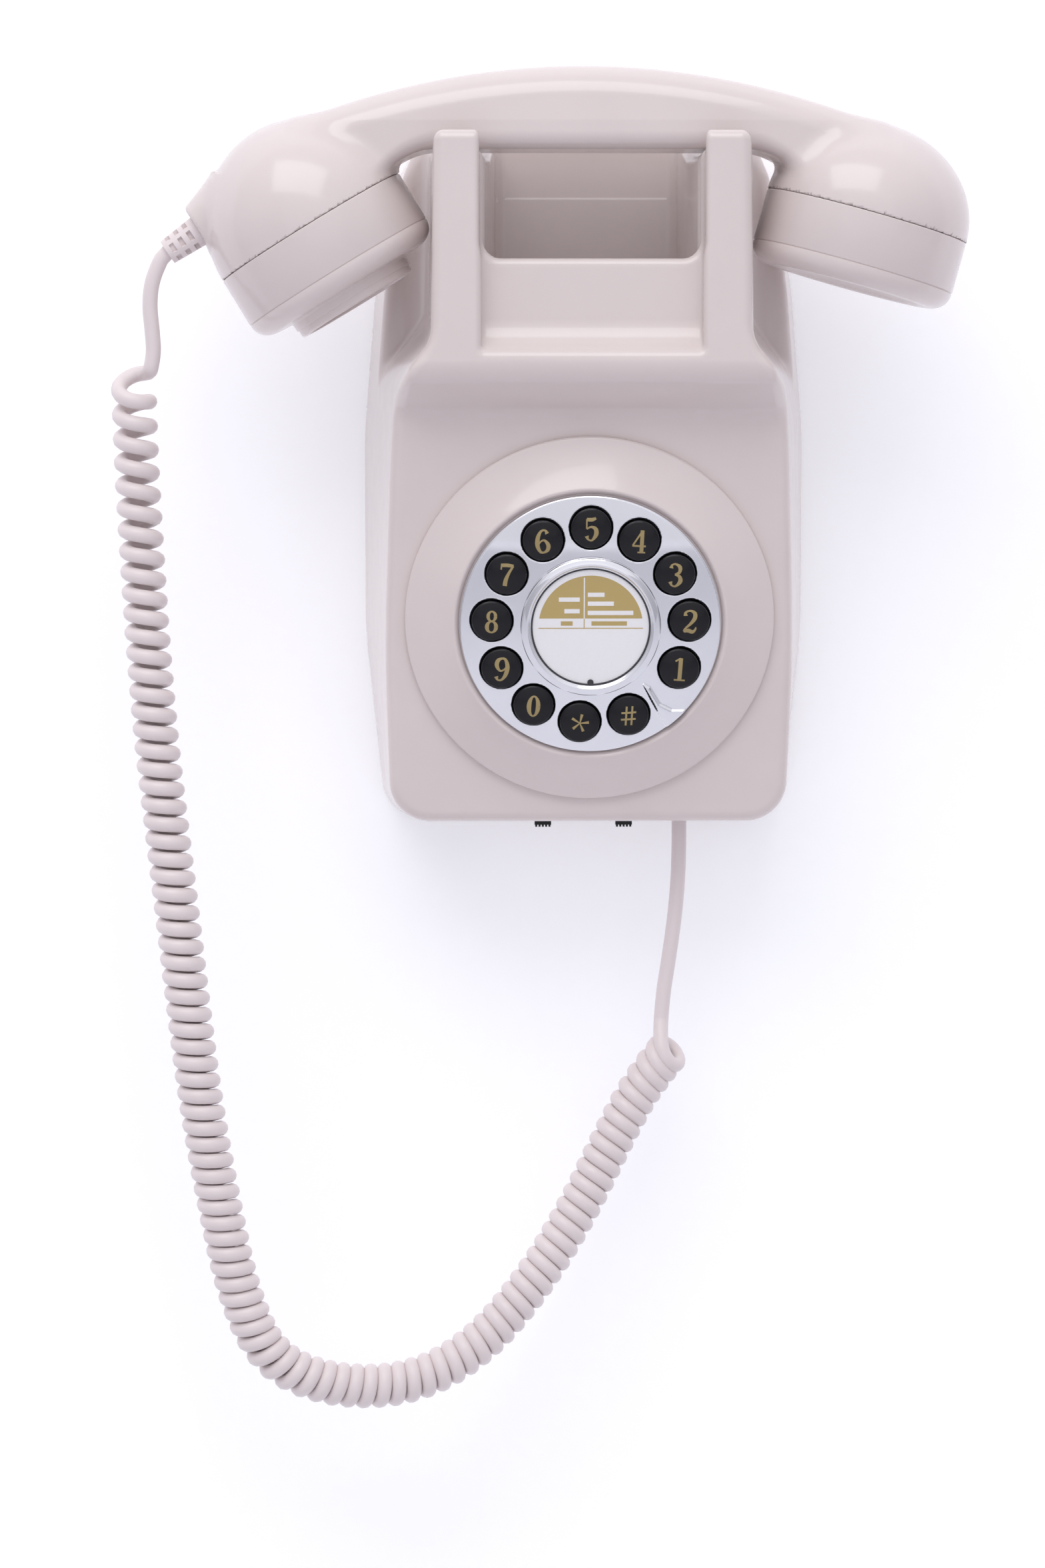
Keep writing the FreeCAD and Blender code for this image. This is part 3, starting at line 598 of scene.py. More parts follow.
def dome_field(cup, x, depth, z, inset):
    """A half ellipsoid over the joint line."""
    along, out, down = cup_places(cup, x, depth, z)
    radius = CAP_R - inset
    height = cup["dome"] - inset
    length = np.sqrt((along ** 2 + out ** 2) / radius ** 2 + down ** 2 / height ** 2)
    slope = np.sqrt((along ** 2 + out ** 2) / radius ** 4 + down ** 2 / height ** 4)
    return length * (length - 1) / np.maximum(slope, 1e-6)


def handle_field(x, depth, z):
    top = 119.8 - (x + 2.0) ** 2 / 430.0
    bottom = 96.0 - 0.030 * np.maximum(np.abs(x) - 44.0, 0) ** 2
    half = 17.6 - 4.6 * (np.abs(x) / 88.0) ** 4
    out = np.abs(depth - HANDSET_DEPTH)
    field = round_max(out - half + 0.12 * np.maximum(z - 104.0, 0), z - top, 8.5)
    field = round_max(field, bottom - z, 5.0)
    return round_max(field, np.abs(x) - 88.0, 5.0)


def relief_places(x, depth, z):
    """Distance from the strain relief's axis, and distance along it from where the cord comes out."""
    dx = x - RELIEF_END[0]
    dz = z - RELIEF_END[2]
    along = dx * RELIEF_AXIS[0] + dz * RELIEF_AXIS[2]
    across = dx * RELIEF_AXIS[2] - dz * RELIEF_AXIS[0]
    return np.hypot(across, depth - RELIEF_END[1]), along


def handset_field(x, depth, z):
    domes = np.minimum(dome_field(MOUTH, x, depth, z, 0.0), dome_field(EAR, x, depth, z, 0.0))
    field = soft_min(domes, handle_field(x, depth, z), 4.5)
    radius, along = relief_places(x, depth, z)
    root = -RELIEF_LENGTH
    boss = round_max(radius - 11.5 + 3.9 * (along - root + 12.0) / 12.4, along - root - 0.4, 0.8)
    boss = np.maximum(boss, root - 12.0 - along)
    field = soft_min(field, boss, 3.0)
    field = np.maximum(field, -np.maximum(radius - 2.7, root - 9.5 - along))
    for cup in (MOUTH, EAR):
        along, _, down = cup_places(cup, x, depth, z)
        near_cup = np.abs(along) < CAP_R + 1.0
        cut = np.where(near_cup, down + 0.06, -50.0)
        field = round_max(field, cut, 0.25)
        field = np.maximum(field, -dome_field(cup, x, depth, z, 2.6))
    return field


handset = add_skin("handset_skin", handset_field, (-119.0, 28.0, 56.0), (112.0, 92.0, 123.0), 0.8,
                   body_plastic, "handset")
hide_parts("handset_body")


def cap_profile(with_rim):
    """Half section of a screw-on cap, from the inside of its open end round to the middle of its face."""
    ring = 14.9
    face = 20.7
    outer = [(CAP_R - 3.0, 0.06), (CAP_R - 0.25, 0.06), (CAP_R, 0.35), (CAP_R, ring - 0.25),
             (CAP_R - 0.15, ring - 0.05), (CAP_R - 0.35, ring), (CAP_R - 0.35, ring + 0.12),
             (CAP_R - 0.1, ring + 0.35)]
    lip = []
    for step in range(1, 15):
        turn = math.radians(90.0 * step / 14)
        lip.append((CAP_R - 6.0 + 5.9 * math.cos(turn), ring + 0.45 + (face - ring - 0.45) * math.sin(turn)))
    if with_rim:
        shape = ([(21.4, face), (20.2, face + 0.15)] + arc((19.9, face + 1.1), 0.9, -90, -180, 4)
                 + [(19.0, face + 2.6), (18.9, face + 2.9), (18.5, face + 3.0)]
                 + arc((17.6, face + 4.3), 0.9, 0, 90, 5) + arc((16.6, face + 4.5), 0.7, 90, 180, 4)
                 + [(15.5, face + 2.4), (14.9, face + 2.0), (8.0, face + 1.5), (0.0, face + 1.4)])
        back = face - 2.6
    else:
        shape = [(22.6, face - 0.05), (21.4, face - 0.45), (20.4, face - 0.9), (14.0, face - 2.4),
                 (8.0, face - 3.4), (0.0, face - 3.8)]
        back = face - 6.2
    inner = [(0.0, back), (14.5, back), (CAP_R - 8.0, ring + 0.4), (CAP_R - 3.0, ring - 2.0)]
    return outer + lip + shape, inner


def drill(piece, cutter_points, cutter_faces):
    """Cut holes in a piece, then drop the cutter."""
    cutter_mesh = bpy.data.meshes.new("cutter")
    cutter_mesh.from_pydata(cutter_points, [], cutter_faces)
    cutter = new_object("cutter", cutter_mesh)
    modifier = piece.modifiers.new("holes", "BOOLEAN")
    modifier.object = cutter
    modifier.operation = "DIFFERENCE"
    modifier.solver = "EXACT"
    depsgraph = bpy.context.evaluated_depsgraph_get()
    drilled = bpy.data.meshes.new_from_object(piece.evaluated_get(depsgraph))
    piece.modifiers.clear()
    piece.data = drilled
    bpy.data.objects.remove(cutter)


SOUND_HOLE_R = 0.9
SOUND_HOLE_RINGS = ((0.0, 1), (4.5, 6), (9.0, 12))      # radius of the ring, and its holes


def add_cap(name, cup, node, with_rim):
    turn = math.radians(cup["tilt"])
    down = (math.sin(turn), 0.0, -math.cos(turn))
    along = (math.cos(turn), 0.0, math.sin(turn))
    origin = metres((cup["centre"][0], HANDSET_DEPTH, cup["centre"][1]))
    matrix = axis_frame(origin, down, along)
    outer, inner = cap_profile(with_rim)
    points, faces = lathe_mesh([(0.0, inner[0][1])] + inner[1:] + outer, 144)
    cap = add_mesh(name, placed(points, matrix), faces, body_plastic, "handset")
    rod, rod_faces = lathe_mesh(
        [(0.0, 5.0), (SOUND_HOLE_R, 5.0), (SOUND_HOLE_R, 40.0), (0.0, 40.0)], 20)
    holes = []
    for ring_radius, count in SOUND_HOLE_RINGS:
        for step in range(count):
            around = 2 * math.pi * step / count
            shift = np.array([ring_radius * math.cos(around), ring_radius * math.sin(around), 0.0])
            holes.append((placed(np.array(rod) + shift, matrix).tolist(), rod_faces))
    drill(cap, *joined(holes))
    cap.data.shade_smooth()
    sharpen(cap, 40)
    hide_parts(node)


add_cap("mouth_cap_skin", MOUTH, "mouth_cap", True)
add_cap("ear_cap_skin", EAR, "ear_cap", False)


# ---- dial ----
FACE_NORMAL = (0.0, -math.cos(face_angle), -math.sin(face_angle))
DIAL = axis_frame(metres((0.0, DIAL_DEPTH, DIAL_Z)), FACE_NORMAL, (1.0, 0.0, 0.0))


def add_dial_lathe(name, profile, material, node, segments=160, degrees=32):
    points, faces = lathe_mesh(profile, segments)
    piece = sharpen(add_mesh(name, placed(points, DIAL), faces, material, "base"), degrees)
    if node:
        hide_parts(node)


add_dial_lathe(
    "dial_cone",
    [(50.2, -0.05), (DISC_R - 0.2, -0.05), (DISC_R, 0.25), (DISC_R, 1.2)]
    + arc((DISC_R - 0.9, 1.2), 0.9, 0, 75, 6)
    + [(46.0, 5.2), (40.3, 8.1)] + arc((39.4, 7.9), 0.8, 65, 150, 6)
    + [(38.0, 7.7), (37.9, 7.4), (36.2, 7.4), (36.2, 6.0), (38.6, 6.0)],
    body_plastic, "dial_ring")


def chrome_height(radius):
    return 11.9 - 2.8 * (radius / CHROME_R) ** 2


# Finger stop pressed into the plate, in the face plane: x to the right and y up from the dial's middle.
FINGER_STOP = [(15.3, -17.4), (21.8, -29.6), (24.5, -34.0), (33.0, -27.0), (28.2, -25.3), (23.6, -25.2),
               (20.0, -23.3), (17.0, -18.3)]


def polygon_field(corners, x, y):
    """Signed distance to a closed outline."""
    nearest = np.full(np.broadcast(x, y).shape, 1e9)
    inside = np.zeros(nearest.shape, bool)
    for (x0, y0), (x1, y1) in zip(corners, corners[1:] + corners[:1]):
        run_x = x1 - x0
        run_y = y1 - y0
        share = np.clip(((x - x0) * run_x + (y - y0) * run_y) / (run_x ** 2 + run_y ** 2), 0, 1)
        nearest = np.minimum(nearest, np.hypot(x - x0 - share * run_x, y - y0 - share * run_y))
        spans = (y0 > y) != (y1 > y)
        inside ^= spans & (x < x0 + (y - y0) * run_x / (run_y if run_y else 1e-9))
    return np.where(inside, -nearest, nearest)


def key_angles():
    return [math.radians(KEY_FIRST + KEY_STEP * index) for index in range(12)]


def plate_field(x, y, height):
    """The domed plate with its key holes, in the dial's own frame."""
    radius = np.hypot(x, y)
    stop = polygon_field(FINGER_STOP, x, y)
    press = np.clip(0.5 - stop / 1.1, 0, 1)
    top = chrome_height(radius) + 0.7 * press * press * (3 - 2 * press)
    field = round_max(height - top, top - 1.3 - height, 0.3)
    field = round_max(field, radius - CHROME_R, 0.5)
    field = np.maximum(field, 16.5 - radius)
    for turn in key_angles():
        hole = KEY_HOLE_R - np.hypot(x - KEY_CIRCLE_R * math.cos(turn), y - KEY_CIRCLE_R * math.sin(turn))
        field = round_max(field, hole, 0.45)
    return field


points, faces, normals = skin_mesh(plate_field, (-38.5, -38.5, 7.0), (38.5, 38.5, 13.5), 0.4)
turned_normals = normals @ np.array(DIAL)[:3, :3].T / MM
plate = add_mesh("chrome_plate", placed(points, DIAL), faces, chrome, "base", turned_normals)
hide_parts("finger_plate")

add_dial_lathe(
    "label_bezel",
    [(0.0, 9.7), (16.2, 9.7), (16.2, 11.3), (BEZEL_R - 0.2, 11.3), (BEZEL_R, 11.5), (BEZEL_R, 12.3)]
    + arc((BEZEL_R - 0.9, 12.3), 0.9, 0, 80, 6) + [(18.6, 13.5)] + arc((18.3, 13.1), 0.5, 70, 150, 4)
    + [(17.5, 12.9), (LABEL_R + 0.25, 12.8), (LABEL_R + 0.2, 12.0), (0.0, 12.0)],
    chrome, "centre_bezel")


def add_flat(name, outline, height, thick, material):
    """A thin flat piece on the dial from its outline in the face plane."""
    count = len(outline)
    points = [(x, y, height) for x, y in outline] + [(x, y, height + thick) for x, y in outline]
    faces = [list(range(count))[::-1], list(range(count, 2 * count))]
    faces += [[i, (i + 1) % count, count + (i + 1) % count, count + i] for i in range(count)]
    sharpen(add_mesh(name, placed(points, DIAL), faces, material, "base"))


def disc_outline(radius, low=-1e9, steps=96, centre=(0.0, 0.0)):
    """A circle, or the part of it above a level line."""
    turns = [2 * math.pi * i / steps for i in range(steps)]
    if low > -radius:
        start = math.asin(low / radius)
        turns = [start + (math.pi - 2 * start) * i / steps for i in range(steps + 1)]
    return [(centre[0] + radius * math.cos(turn), centre[1] + radius * math.sin(turn)) for turn in turns]


def bar(x0, x1, y, high):
    return [(x0, y - high / 2), (x1, y - high / 2), (x1, y + high / 2), (x0, y + high / 2)]


CARD_TOP = 12.4
INK = 0.02                              # thickness of each printed layer on the card
add_dial_lathe("label_card_skin",
               [(0.0, 12.02), (LABEL_R, 12.02), (LABEL_R, CARD_TOP), (0.0, CARD_TOP)],
               label_white, "label_card", 128)
add_dial_lathe("label_rim",
               [(16.7, CARD_TOP), (LABEL_R + 0.19, CARD_TOP), (LABEL_R + 0.19, 12.75), (16.75, 12.75)],
               label_black, None, 128)
add_dial_lathe("label_lens_skin", [(0.0, 12.8), (17.15, 12.8), (17.15, 13.0), (0.0, 13.05)],
               clear_plastic, "label_lens", 128)
DIVIDER_X = -1.9
BAR_HIGH = 1.25
# What is printed on the card: name, outline, layer, ink. Plain bars stand where the words are.
PRINTED = [
    ("half_disc", disc_outline(15.0, 2.45), 0, label_gold),
    ("rule", bar(-15.0, 15.0, -0.4, 0.28), 0, label_gold),
    ("rule_end", bar(DIVIDER_X - 0.14, DIVIDER_X + 0.14, 1.05, 2.7), 0, label_gold),
    ("divider", bar(DIVIDER_X - 0.16, DIVIDER_X + 0.16, 8.425, 11.95), 1, label_white),
    ("bar_upper_left", bar(-9.2, -3.2, 8.0, BAR_HIGH), 1, label_white),
    ("bar_lower_left", bar(-7.6, -3.2, 4.6, BAR_HIGH), 1, label_white),
    ("bar_upper_right", bar(-0.9, 3.9, 9.4, BAR_HIGH), 1, label_white),
    ("bar_middle_right", bar(-0.9, 6.6, 6.8, BAR_HIGH), 1, label_white),
    ("bar_lower_right", bar(-0.9, 12.2, 4.1, BAR_HIGH), 1, label_white),
    ("bar_row_left", bar(-8.6, -5.2, 1.0, BAR_HIGH), 1, label_gold),
    ("bar_row_right", bar(0.2, 10.4, 1.0, BAR_HIGH), 1, label_gold),
]
for print_name, outline, layer, ink in PRINTED:
    add_flat("label_" + print_name, outline, CARD_TOP + layer * INK, INK, ink)
add_flat("label_notch", disc_outline(0.9, steps=32, centre=(0.0, -16.3)), CARD_TOP, 0.3, label_black)


# ---- keys ----
def key_height(radius):
    """Height of a key's domed top over the face plane."""
    return 12.55 - 0.95 * (radius / KEY_R) ** 2


# Bold serif figures as strokes. A stroke's points are (x, y, half width), in hundredths of the height.
def loop(centre, radius_x, radius_y, side, end):
    """A closed oval stroke, heavy at the sides and light at its ends."""
    stroke = []
    for step in range(17):
        turn = 2 * math.pi * step / 16
        stroke.append((centre[0] + radius_x * math.cos(turn), centre[1] + radius_y * math.sin(turn),
                       end + (side - end) * math.cos(turn) ** 2))
    return stroke


SIX = [[(19, 32, 8.5), (11, 46, 4), (-6, 43, 5), (-20, 18, 8.5), (-23.5, -15, 9), (-13, -42, 6),
        (2, -46.5, 4.5), (18, -36, 8), (21, -15, 8.5), (6, 5, 4.5), (-10, 0, 3.5), (-18, -12, 3)]]
FIGURES = {
    "1": [[(3, 47, 8.5), (3, -46, 8.5)], [(3, 47, 3), (-19, 33, 3.5)], [(-20, -46.5, 3.5), (26, -46.5, 3.5)]],
    "2": [[(-19, 24, 8.5), (-19, 38, 5), (0, 46, 4), (19, 36, 8), (19, 14, 8.5), (2, -10, 6), (-16, -28, 4),
           (-24, -42, 3.5)],
          [(-24, -42, 6), (-5, -38, 8.5), (13, -43, 7.5), (24, -33, 4.5), (26, -22, 3)]],
    "3": [[(-18, 29, 8.5), (-15, 42, 4), (0, 46.5, 4), (18, 34, 8), (16, 13, 6.5), (-2, 3, 3.5)],
          [(-2, 3, 3.5), (17, -5, 7), (21, -26, 9), (3, -46.5, 4.5), (-14, -43, 4), (-20, -28, 8.5)]],
    "4": [[(10, 47, 8), (10, -46, 8)], [(10, 45, 3.5), (-27, -17, 3.5)],
          [(-29, -19, 4), (27, -19, 4)], [(-6, -46.5, 3.3), (26, -46.5, 3.3)]],
    "5": [[(-17, 41, 7), (5, 40, 7.5), (21, 45, 5)], [(-17, 43, 3), (-19, 3, 3)],
          [(-19, 2, 3), (0, 10, 4.5), (18, 0, 8.5), (19, -23, 9), (2, -46.5, 4.5), (-14, -43, 4),
           (-20, -28, 8.5)]],
    "6": SIX,
    "7": [[(-24, 40, 7), (0, 42, 7.5), (25, 40, 6)], [(-25, 47, 2.8), (-25, 22, 2.8)],
          [(24, 40, 4), (8, 10, 6), (-2, -20, 8.5), (-4, -46, 9)]],
    "8": [loop((0, 23.5), 15.5, 20, 7, 3.5), loop((0, -21.5), 19, 23.5, 8.5, 3.5)],
    "9": [[(-x, -y, width) for x, y, width in SIX[0]]],
    "0": [loop((0, 0), 19, 42, 9.5, 3.5)],
    "star": [[(0, 0, 2), (38 * math.cos(math.radians(a)), 38 * math.sin(math.radians(a)), 6)]
             for a in (12, 84, 156, 228, 300)],
    "hash": [[(-6, 40, 4), (-16, -40, 4)], [(18, 40, 4), (8, -40, 4)],
             [(-30, 14, 4), (32, 14, 4)], [(-34, -14, 4), (28, -14, 4)]],
}
KEY_ORDER = ["1", "2", "3", "4", "5", "6", "7", "8", "9", "0", "star", "hash"]
FIGURE_HIGH = 6.9
FIGURE_UNIT = FIGURE_HIGH / 100
FIGURE_TURN = dict(zip(KEY_ORDER, (-4, -3, -2, -3, 2, 3, -5, -2, -6, -4, -8, 4)))   # degrees


def along_stroke(stroke, steps=8):
    """Catmull-Rom points between a stroke's own points."""
    if len(stroke) == 2:
        start, end = np.array(stroke)
        return [start + (end - start) * i / 5 for i in range(6)]
    ends = [np.array(stroke[0])] + [np.array(point) for point in stroke] + [np.array(stroke[-1])]
    out = []
    for a, b, c, d in zip(ends, ends[1:], ends[2:], ends[3:]):
        for step in range(steps):
            t = step / steps
            out.append(0.5 * (2 * b + (c - a) * t + (2 * a - 5 * b + 4 * c - d) * t * t
                              + (3 * b - a - 3 * c + d) * t ** 3))
    out.append(ends[-2])
    return out


def figure_mesh(strokes, turn, lift):
    """Thin ribbons that follow the key's dome, in the key's own frame."""
    points = []
    faces = []
    cos_turn, sin_turn = math.cos(turn), math.sin(turn)
    for order, stroke in enumerate(strokes):
        path = np.array(along_stroke(stroke))
        place = path[:, :2]
        heading = headings(place)
        sideways = np.stack([-heading[:, 1], heading[:, 0]], 1) * path[:, 2:3]
        start = len(points)
        for i in range(len(path)):
            for across in (-1.0, -0.4, 0.4, 1.0):
                x, y = (place[i] + sideways[i] * across) * FIGURE_UNIT
                x, y = x * cos_turn - y * sin_turn, x * sin_turn + y * cos_turn
                points.append((x, y, key_height(math.hypot(x, y)) + lift + 0.006 * order))
        for i in range(len(path) - 1):
            for j in range(3):
                corner = start + 4 * i + j
                faces.append([corner, corner + 4, corner + 5, corner + 1])
    return points, faces


def add_key(name, turn):
    centre = Vector((KEY_CIRCLE_R * math.cos(turn), KEY_CIRCLE_R * math.sin(turn), 0.0))
    matrix = DIAL @ Matrix.Translation(centre)
    dome = [(KEY_R * i / 9, key_height(KEY_R * i / 9)) for i in range(9)]
    profile = (dome + [(KEY_R - 0.38, key_height(KEY_R - 0.38))] + arc((KEY_R - 0.45, 11.25), 0.45, 62, 0, 5)
               + [(KEY_R, 7.3), (6.6, 7.2), (6.6, 5.3), (0.0, 5.2)])
    points, faces = lathe_mesh(profile, 72)
    faces = [face[::-1] for face in faces]
    key = sharpen(add_mesh("keycap_" + name, placed(points, matrix), faces, black_plastic, "key_" + name))
    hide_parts("key_" + name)
    points, faces = figure_mesh(FIGURES[name], math.radians(FIGURE_TURN[name]), 0.03)
    add_mesh("figure_" + name, placed(points, matrix), faces, key_gold, "key_" + name)


for key_name, key_turn in zip(KEY_ORDER, key_angles()):
    add_key(key_name, key_turn)


# ---- knobs under the case ----
KNOB_HALF = 2.45
KNOB_RIBS = 5


def add_knob(node, knob_x, body):
    """A slide knob: a block with a row of ribs along its lower edge."""
    def block(half_wide, middle, low, high):
        corners = [(middle + side_x * half_wide, SWITCH_DEPTH + side_y * 1.6, level)
                   for level in (low, high) for side_x, side_y in ((-1, 1), (1, 1), (1, -1), (-1, -1))]
        sides = [[i, (i + 1) % 4, 4 + (i + 1) % 4, 4 + i] for i in range(4)]
        return corners, [[3, 2, 1, 0], [4, 5, 6, 7]] + sides

    ribs = [block(0.3, knob_x - KNOB_HALF + 2 * KNOB_HALF * (rib + 0.5) / KNOB_RIBS, -101.4, -100.8)
            for rib in range(KNOB_RIBS)]
    points, faces = joined([block(KNOB_HALF, knob_x, -100.8, -92.4)] + ribs)
    knob = sharpen(add_mesh(node + "_skin", metres(points), faces, black_plastic, body))
    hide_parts(node)


add_knob("ringer_knob", SWITCH_X[0], "ringer_slider")
add_knob("mode_knob", SWITCH_X[1], "mode_slider")


# ---- handset cord ----
# The routes repeat the CAD's, as (x, y, z) in metres.
TAIL_ROUTE = [(-0.1228, -0.0600, 0.0660), (-0.1257, -0.0600, 0.0606), (-0.1269, -0.0596, 0.0525),
              (-0.1260, -0.0592, 0.0440), (-0.1256, -0.0586, 0.0366), (-0.1276, -0.0582, 0.0300)]
COIL_ROUTE = [(-0.1316, -0.0580, 0.0315), (-0.1312, -0.0576, 0.0120), (-0.1299, -0.0572, -0.0140),
              (-0.1280, -0.0568, -0.0460), (-0.1254, -0.0562, -0.0780), (-0.1214, -0.0556, -0.1120),
              (-0.1176, -0.0548, -0.1460), (-0.1136, -0.0540, -0.1800), (-0.1080, -0.0530, -0.2120),
              (-0.1026, -0.0518, -0.2380), (-0.0938, -0.0502, -0.2576), (-0.0752, -0.0468, -0.2662),
              (-0.0520, -0.0424, -0.2664), (-0.0328, -0.0386, -0.2566), (-0.0168, -0.0354, -0.2388),
              (-0.0026, -0.0322, -0.2164), (0.0096, -0.0292, -0.1916), (0.0178, -0.0274, -0.1772),
              (0.0260, -0.0264, -0.1676)]
LEAD_ROUTE = [(0.0278, -0.0250, -0.0998), (0.0279, -0.0250, -0.1116), (0.0269, -0.0252, -0.1265),
              (0.0249, -0.0256, -0.1410), (0.0227, -0.0260, -0.1545), (0.0222, -0.0262, -0.1664)]


def spline_points(route):
    """Points along the NURBS spline that has the route as its control points."""
    curve = bpy.data.curves.new("route", "CURVE")
    curve.dimensions = "3D"
    curve.resolution_u = 16
    spline = curve.splines.new("NURBS")
    spline.points.add(len(route) - 1)
    for point, place in zip(spline.points, route):
        point.co = (*place, 1.0)
    spline.order_u = 3
    spline.use_endpoint_u = True
    guide = bpy.data.objects.new("route", curve)
    mesh = bpy.data.meshes.new_from_object(guide)
    points = np.array([vertex.co for vertex in mesh.vertices])
    bpy.data.objects.remove(guide)
    bpy.data.curves.remove(curve)
    bpy.data.meshes.remove(mesh)
    return points


def measured(points):
    """Distance along a run of points."""
    return np.concatenate([[0.0], np.cumsum(np.linalg.norm(np.diff(points, axis=0), axis=1))])


def sampled(wanted, along, values):
    """Values at the wanted distances along a run."""
    return np.stack([np.interp(wanted, along, values[:, axis]) for axis in range(3)], 1)


def evenly(points, step):
    """The same run with points a step apart."""
    along = measured(points)
    wanted = np.linspace(0, along[-1], max(2, round(along[-1] / step) + 1))
    return sampled(wanted, along, points)


def transported(points, first):
    """Sideways directions along a run of points that don't twist about it."""
    heading = headings(points)
    sides = np.empty_like(points)
    side = np.array(first, float)
    for i, ahead in enumerate(heading):
        side = side - ahead * (side @ ahead)
        side /= np.linalg.norm(side)
        sides[i] = side
    return heading, sides


TURN_POINTS = 20
BEND_SPAN = 41                          # how many points of the route its bend is averaged over
TIGHT_PITCH = 4.4 * MM                  # the turns touch along the lower half of the coil
BEND_PITCH = 4.1 * MM                   # on the inside of a bend
LOOSE_PITCH = 1.15 * MM                 # how much wider they stand at the top, fading over the upper half
LOOSE_REACH = 330 * MM
OPEN_PITCH = 2.0 * MM                   # and the few turns next to the handset
OPEN_REACH = 50 * MM
TOP_LEAN = 2.6 * MM                     # how far the first turn leans open on its wall side
END_LEAN = 3.6 * MM                     # and the last turn
LEAN_REACH = 10 * MM
END_CUT = 3                             # points left out of the first and last turns, where the cord runs on


def coil_points(route):
    """The cord's own line in the coil: a left-handed helix about the route, wider set at the top and where
    the coil bends."""
    axis = evenly(spline_points(route), 0.4 * MM)
    along = measured(axis)
    heading, side = transported(axis, (1.0, 0.0, 0.0))
    bend = np.linalg.norm(np.gradient(heading, axis=0), axis=1) / np.gradient(along)
    smooth = np.ones(BEND_SPAN) / BEND_SPAN
    bend = np.convolve(np.pad(bend, BEND_SPAN // 2, mode="edge"), smooth, mode="valid")
    pitch = (TIGHT_PITCH + LOOSE_PITCH * np.clip(1 - along / LOOSE_REACH, 0, 1)
             + OPEN_PITCH * np.exp(-along / OPEN_REACH))
    pitch = np.maximum(pitch, BEND_PITCH / (1 - COIL_MEAN_R * MM * bend))
    turns = np.concatenate([[0.0], np.cumsum(np.diff(along) / pitch[1:])])
    whole = round(turns[-1])
    turns *= whole / turns[-1]
    wanted = np.arange(END_CUT, whole * TURN_POINTS - END_CUT + 1) / TURN_POINTS
    middle, ahead, right = [sampled(wanted, turns, values) for values in (axis, heading, side)]
    back = np.cross(right, ahead)
    phase = 2 * np.pi * wanted
    radius = COIL_MEAN_R * MM
    done = np.interp(wanted, turns, along)
    lean = np.sin(phase) * (END_LEAN * np.exp(-(along[-1] - done) / LEAN_REACH)
                            - TOP_LEAN * np.exp(-done / LEAN_REACH))
    return (middle + lean[:, None] * ahead
            + radius * (np.cos(phase)[:, None] * right + np.sin(phase)[:, None] * back))


def bridge(before, after, pull_before, pull_after, count=14):
    """A smooth run from the end of one run of points to the start of the next."""
    start = before[-1]
    end = after[0]
    out = before[-1] - before[-2]
    into = after[1] - after[0]
    out = out / np.linalg.norm(out) * pull_before
    into = into / np.linalg.norm(into) * pull_after
    share = np.linspace(0, 1, count + 2)[1:-1, None]
    return ((2 * share ** 3 - 3 * share ** 2 + 1) * start + (share ** 3 - 2 * share ** 2 + share) * out
            + (3 * share ** 2 - 2 * share ** 3) * end + (share ** 3 - share ** 2) * into)


def tube_mesh(path, radius, sides):
    heading, side = transported(path, (0.3, 1.0, 0.2))
    across = np.cross(heading, side)
    turns = 2 * np.pi * np.arange(sides) / sides
    rings = (path[:, None, :] + radius * (np.cos(turns)[None, :, None] * side[:, None, :]
                                          + np.sin(turns)[None, :, None] * across[:, None, :]))
    points = rings.reshape(-1, 3)
    faces = []
    for i in range(len(path) - 1):
        for j in range(sides):
            after = (j + 1) % sides
            faces.append([i * sides + j, i * sides + after, (i + 1) * sides + after, (i + 1) * sides + j])
    faces.append(list(range(sides))[::-1])
    faces.append(list(range((len(path) - 1) * sides, len(path) * sides)))
    return points, faces


relief_start = metres(RELIEF_END - RELIEF_AXIS * 3.0)
relief_mouth = metres(RELIEF_END)
tail = evenly(spline_points(TAIL_ROUTE), 1.2 * MM)[1:]
tail = tail[tail[:, 2] > COIL_ROUTE[0][2] + 2.5 * MM]
inside_relief = np.array([relief_start, (relief_start + relief_mouth) / 2, relief_mouth])
tail = np.concatenate([inside_relief, tail])
coil = coil_points(COIL_ROUTE)
lead = evenly(spline_points(LEAD_ROUTE), 1.5 * MM)[::-1]
lead = lead[lead[:, 2] > LEAD_ROUTE[-1][2] + 6 * MM]
into_gland = metres([(EXIT[0], EXIT[1], -99.0)])
cord_line = np.concatenate([
    tail, bridge(tail, coil, 6 * MM, 6 * MM), coil,
    bridge(coil, lead, 8 * MM, 6 * MM), lead, into_gland])[::-1]
cord_points, cord_faces = tube_mesh(cord_line, WIRE_R * MM, 12)
cord = add_mesh("handset_cord", cord_points, cord_faces, cord_plastic, "base")
sharpen(cord, 60)
cord.parent = None
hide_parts("cord_tail", "cord_coil", "cord_lead")
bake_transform(cord)


# ---- finishes of the CAD's own nodes ----
NODE_FINISHES = [
    (steel, ("case_screws", "board_screws", "hook_spring", "hook_bracket", "gong_large", "gong_small",
             "ringer_bracket", "microphone_capsule", "receiver_capsule", "handset_weight")),
    (matt_black, ("ringer_switch", "mode_switch", "line_jack", "hook_switch")),
    (board_green, ("keypad_board", "main_board")),
    (base_plastic, ("back_plate", "board_pillars")),
    (body_plastic, ("cord_gland", "hook_yoke")),
    (brass, ("ringer_coil", "clapper")),
    (grey_rubber, ("keypad_mat",)),
    (cord_plastic, ("strain_relief",)),
]
for finish, node_names in NODE_FINISHES:
    for node_name in node_names:
        node_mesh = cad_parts[node_name].data
        node_mesh.materials.clear()
        node_mesh.materials.append(finish)


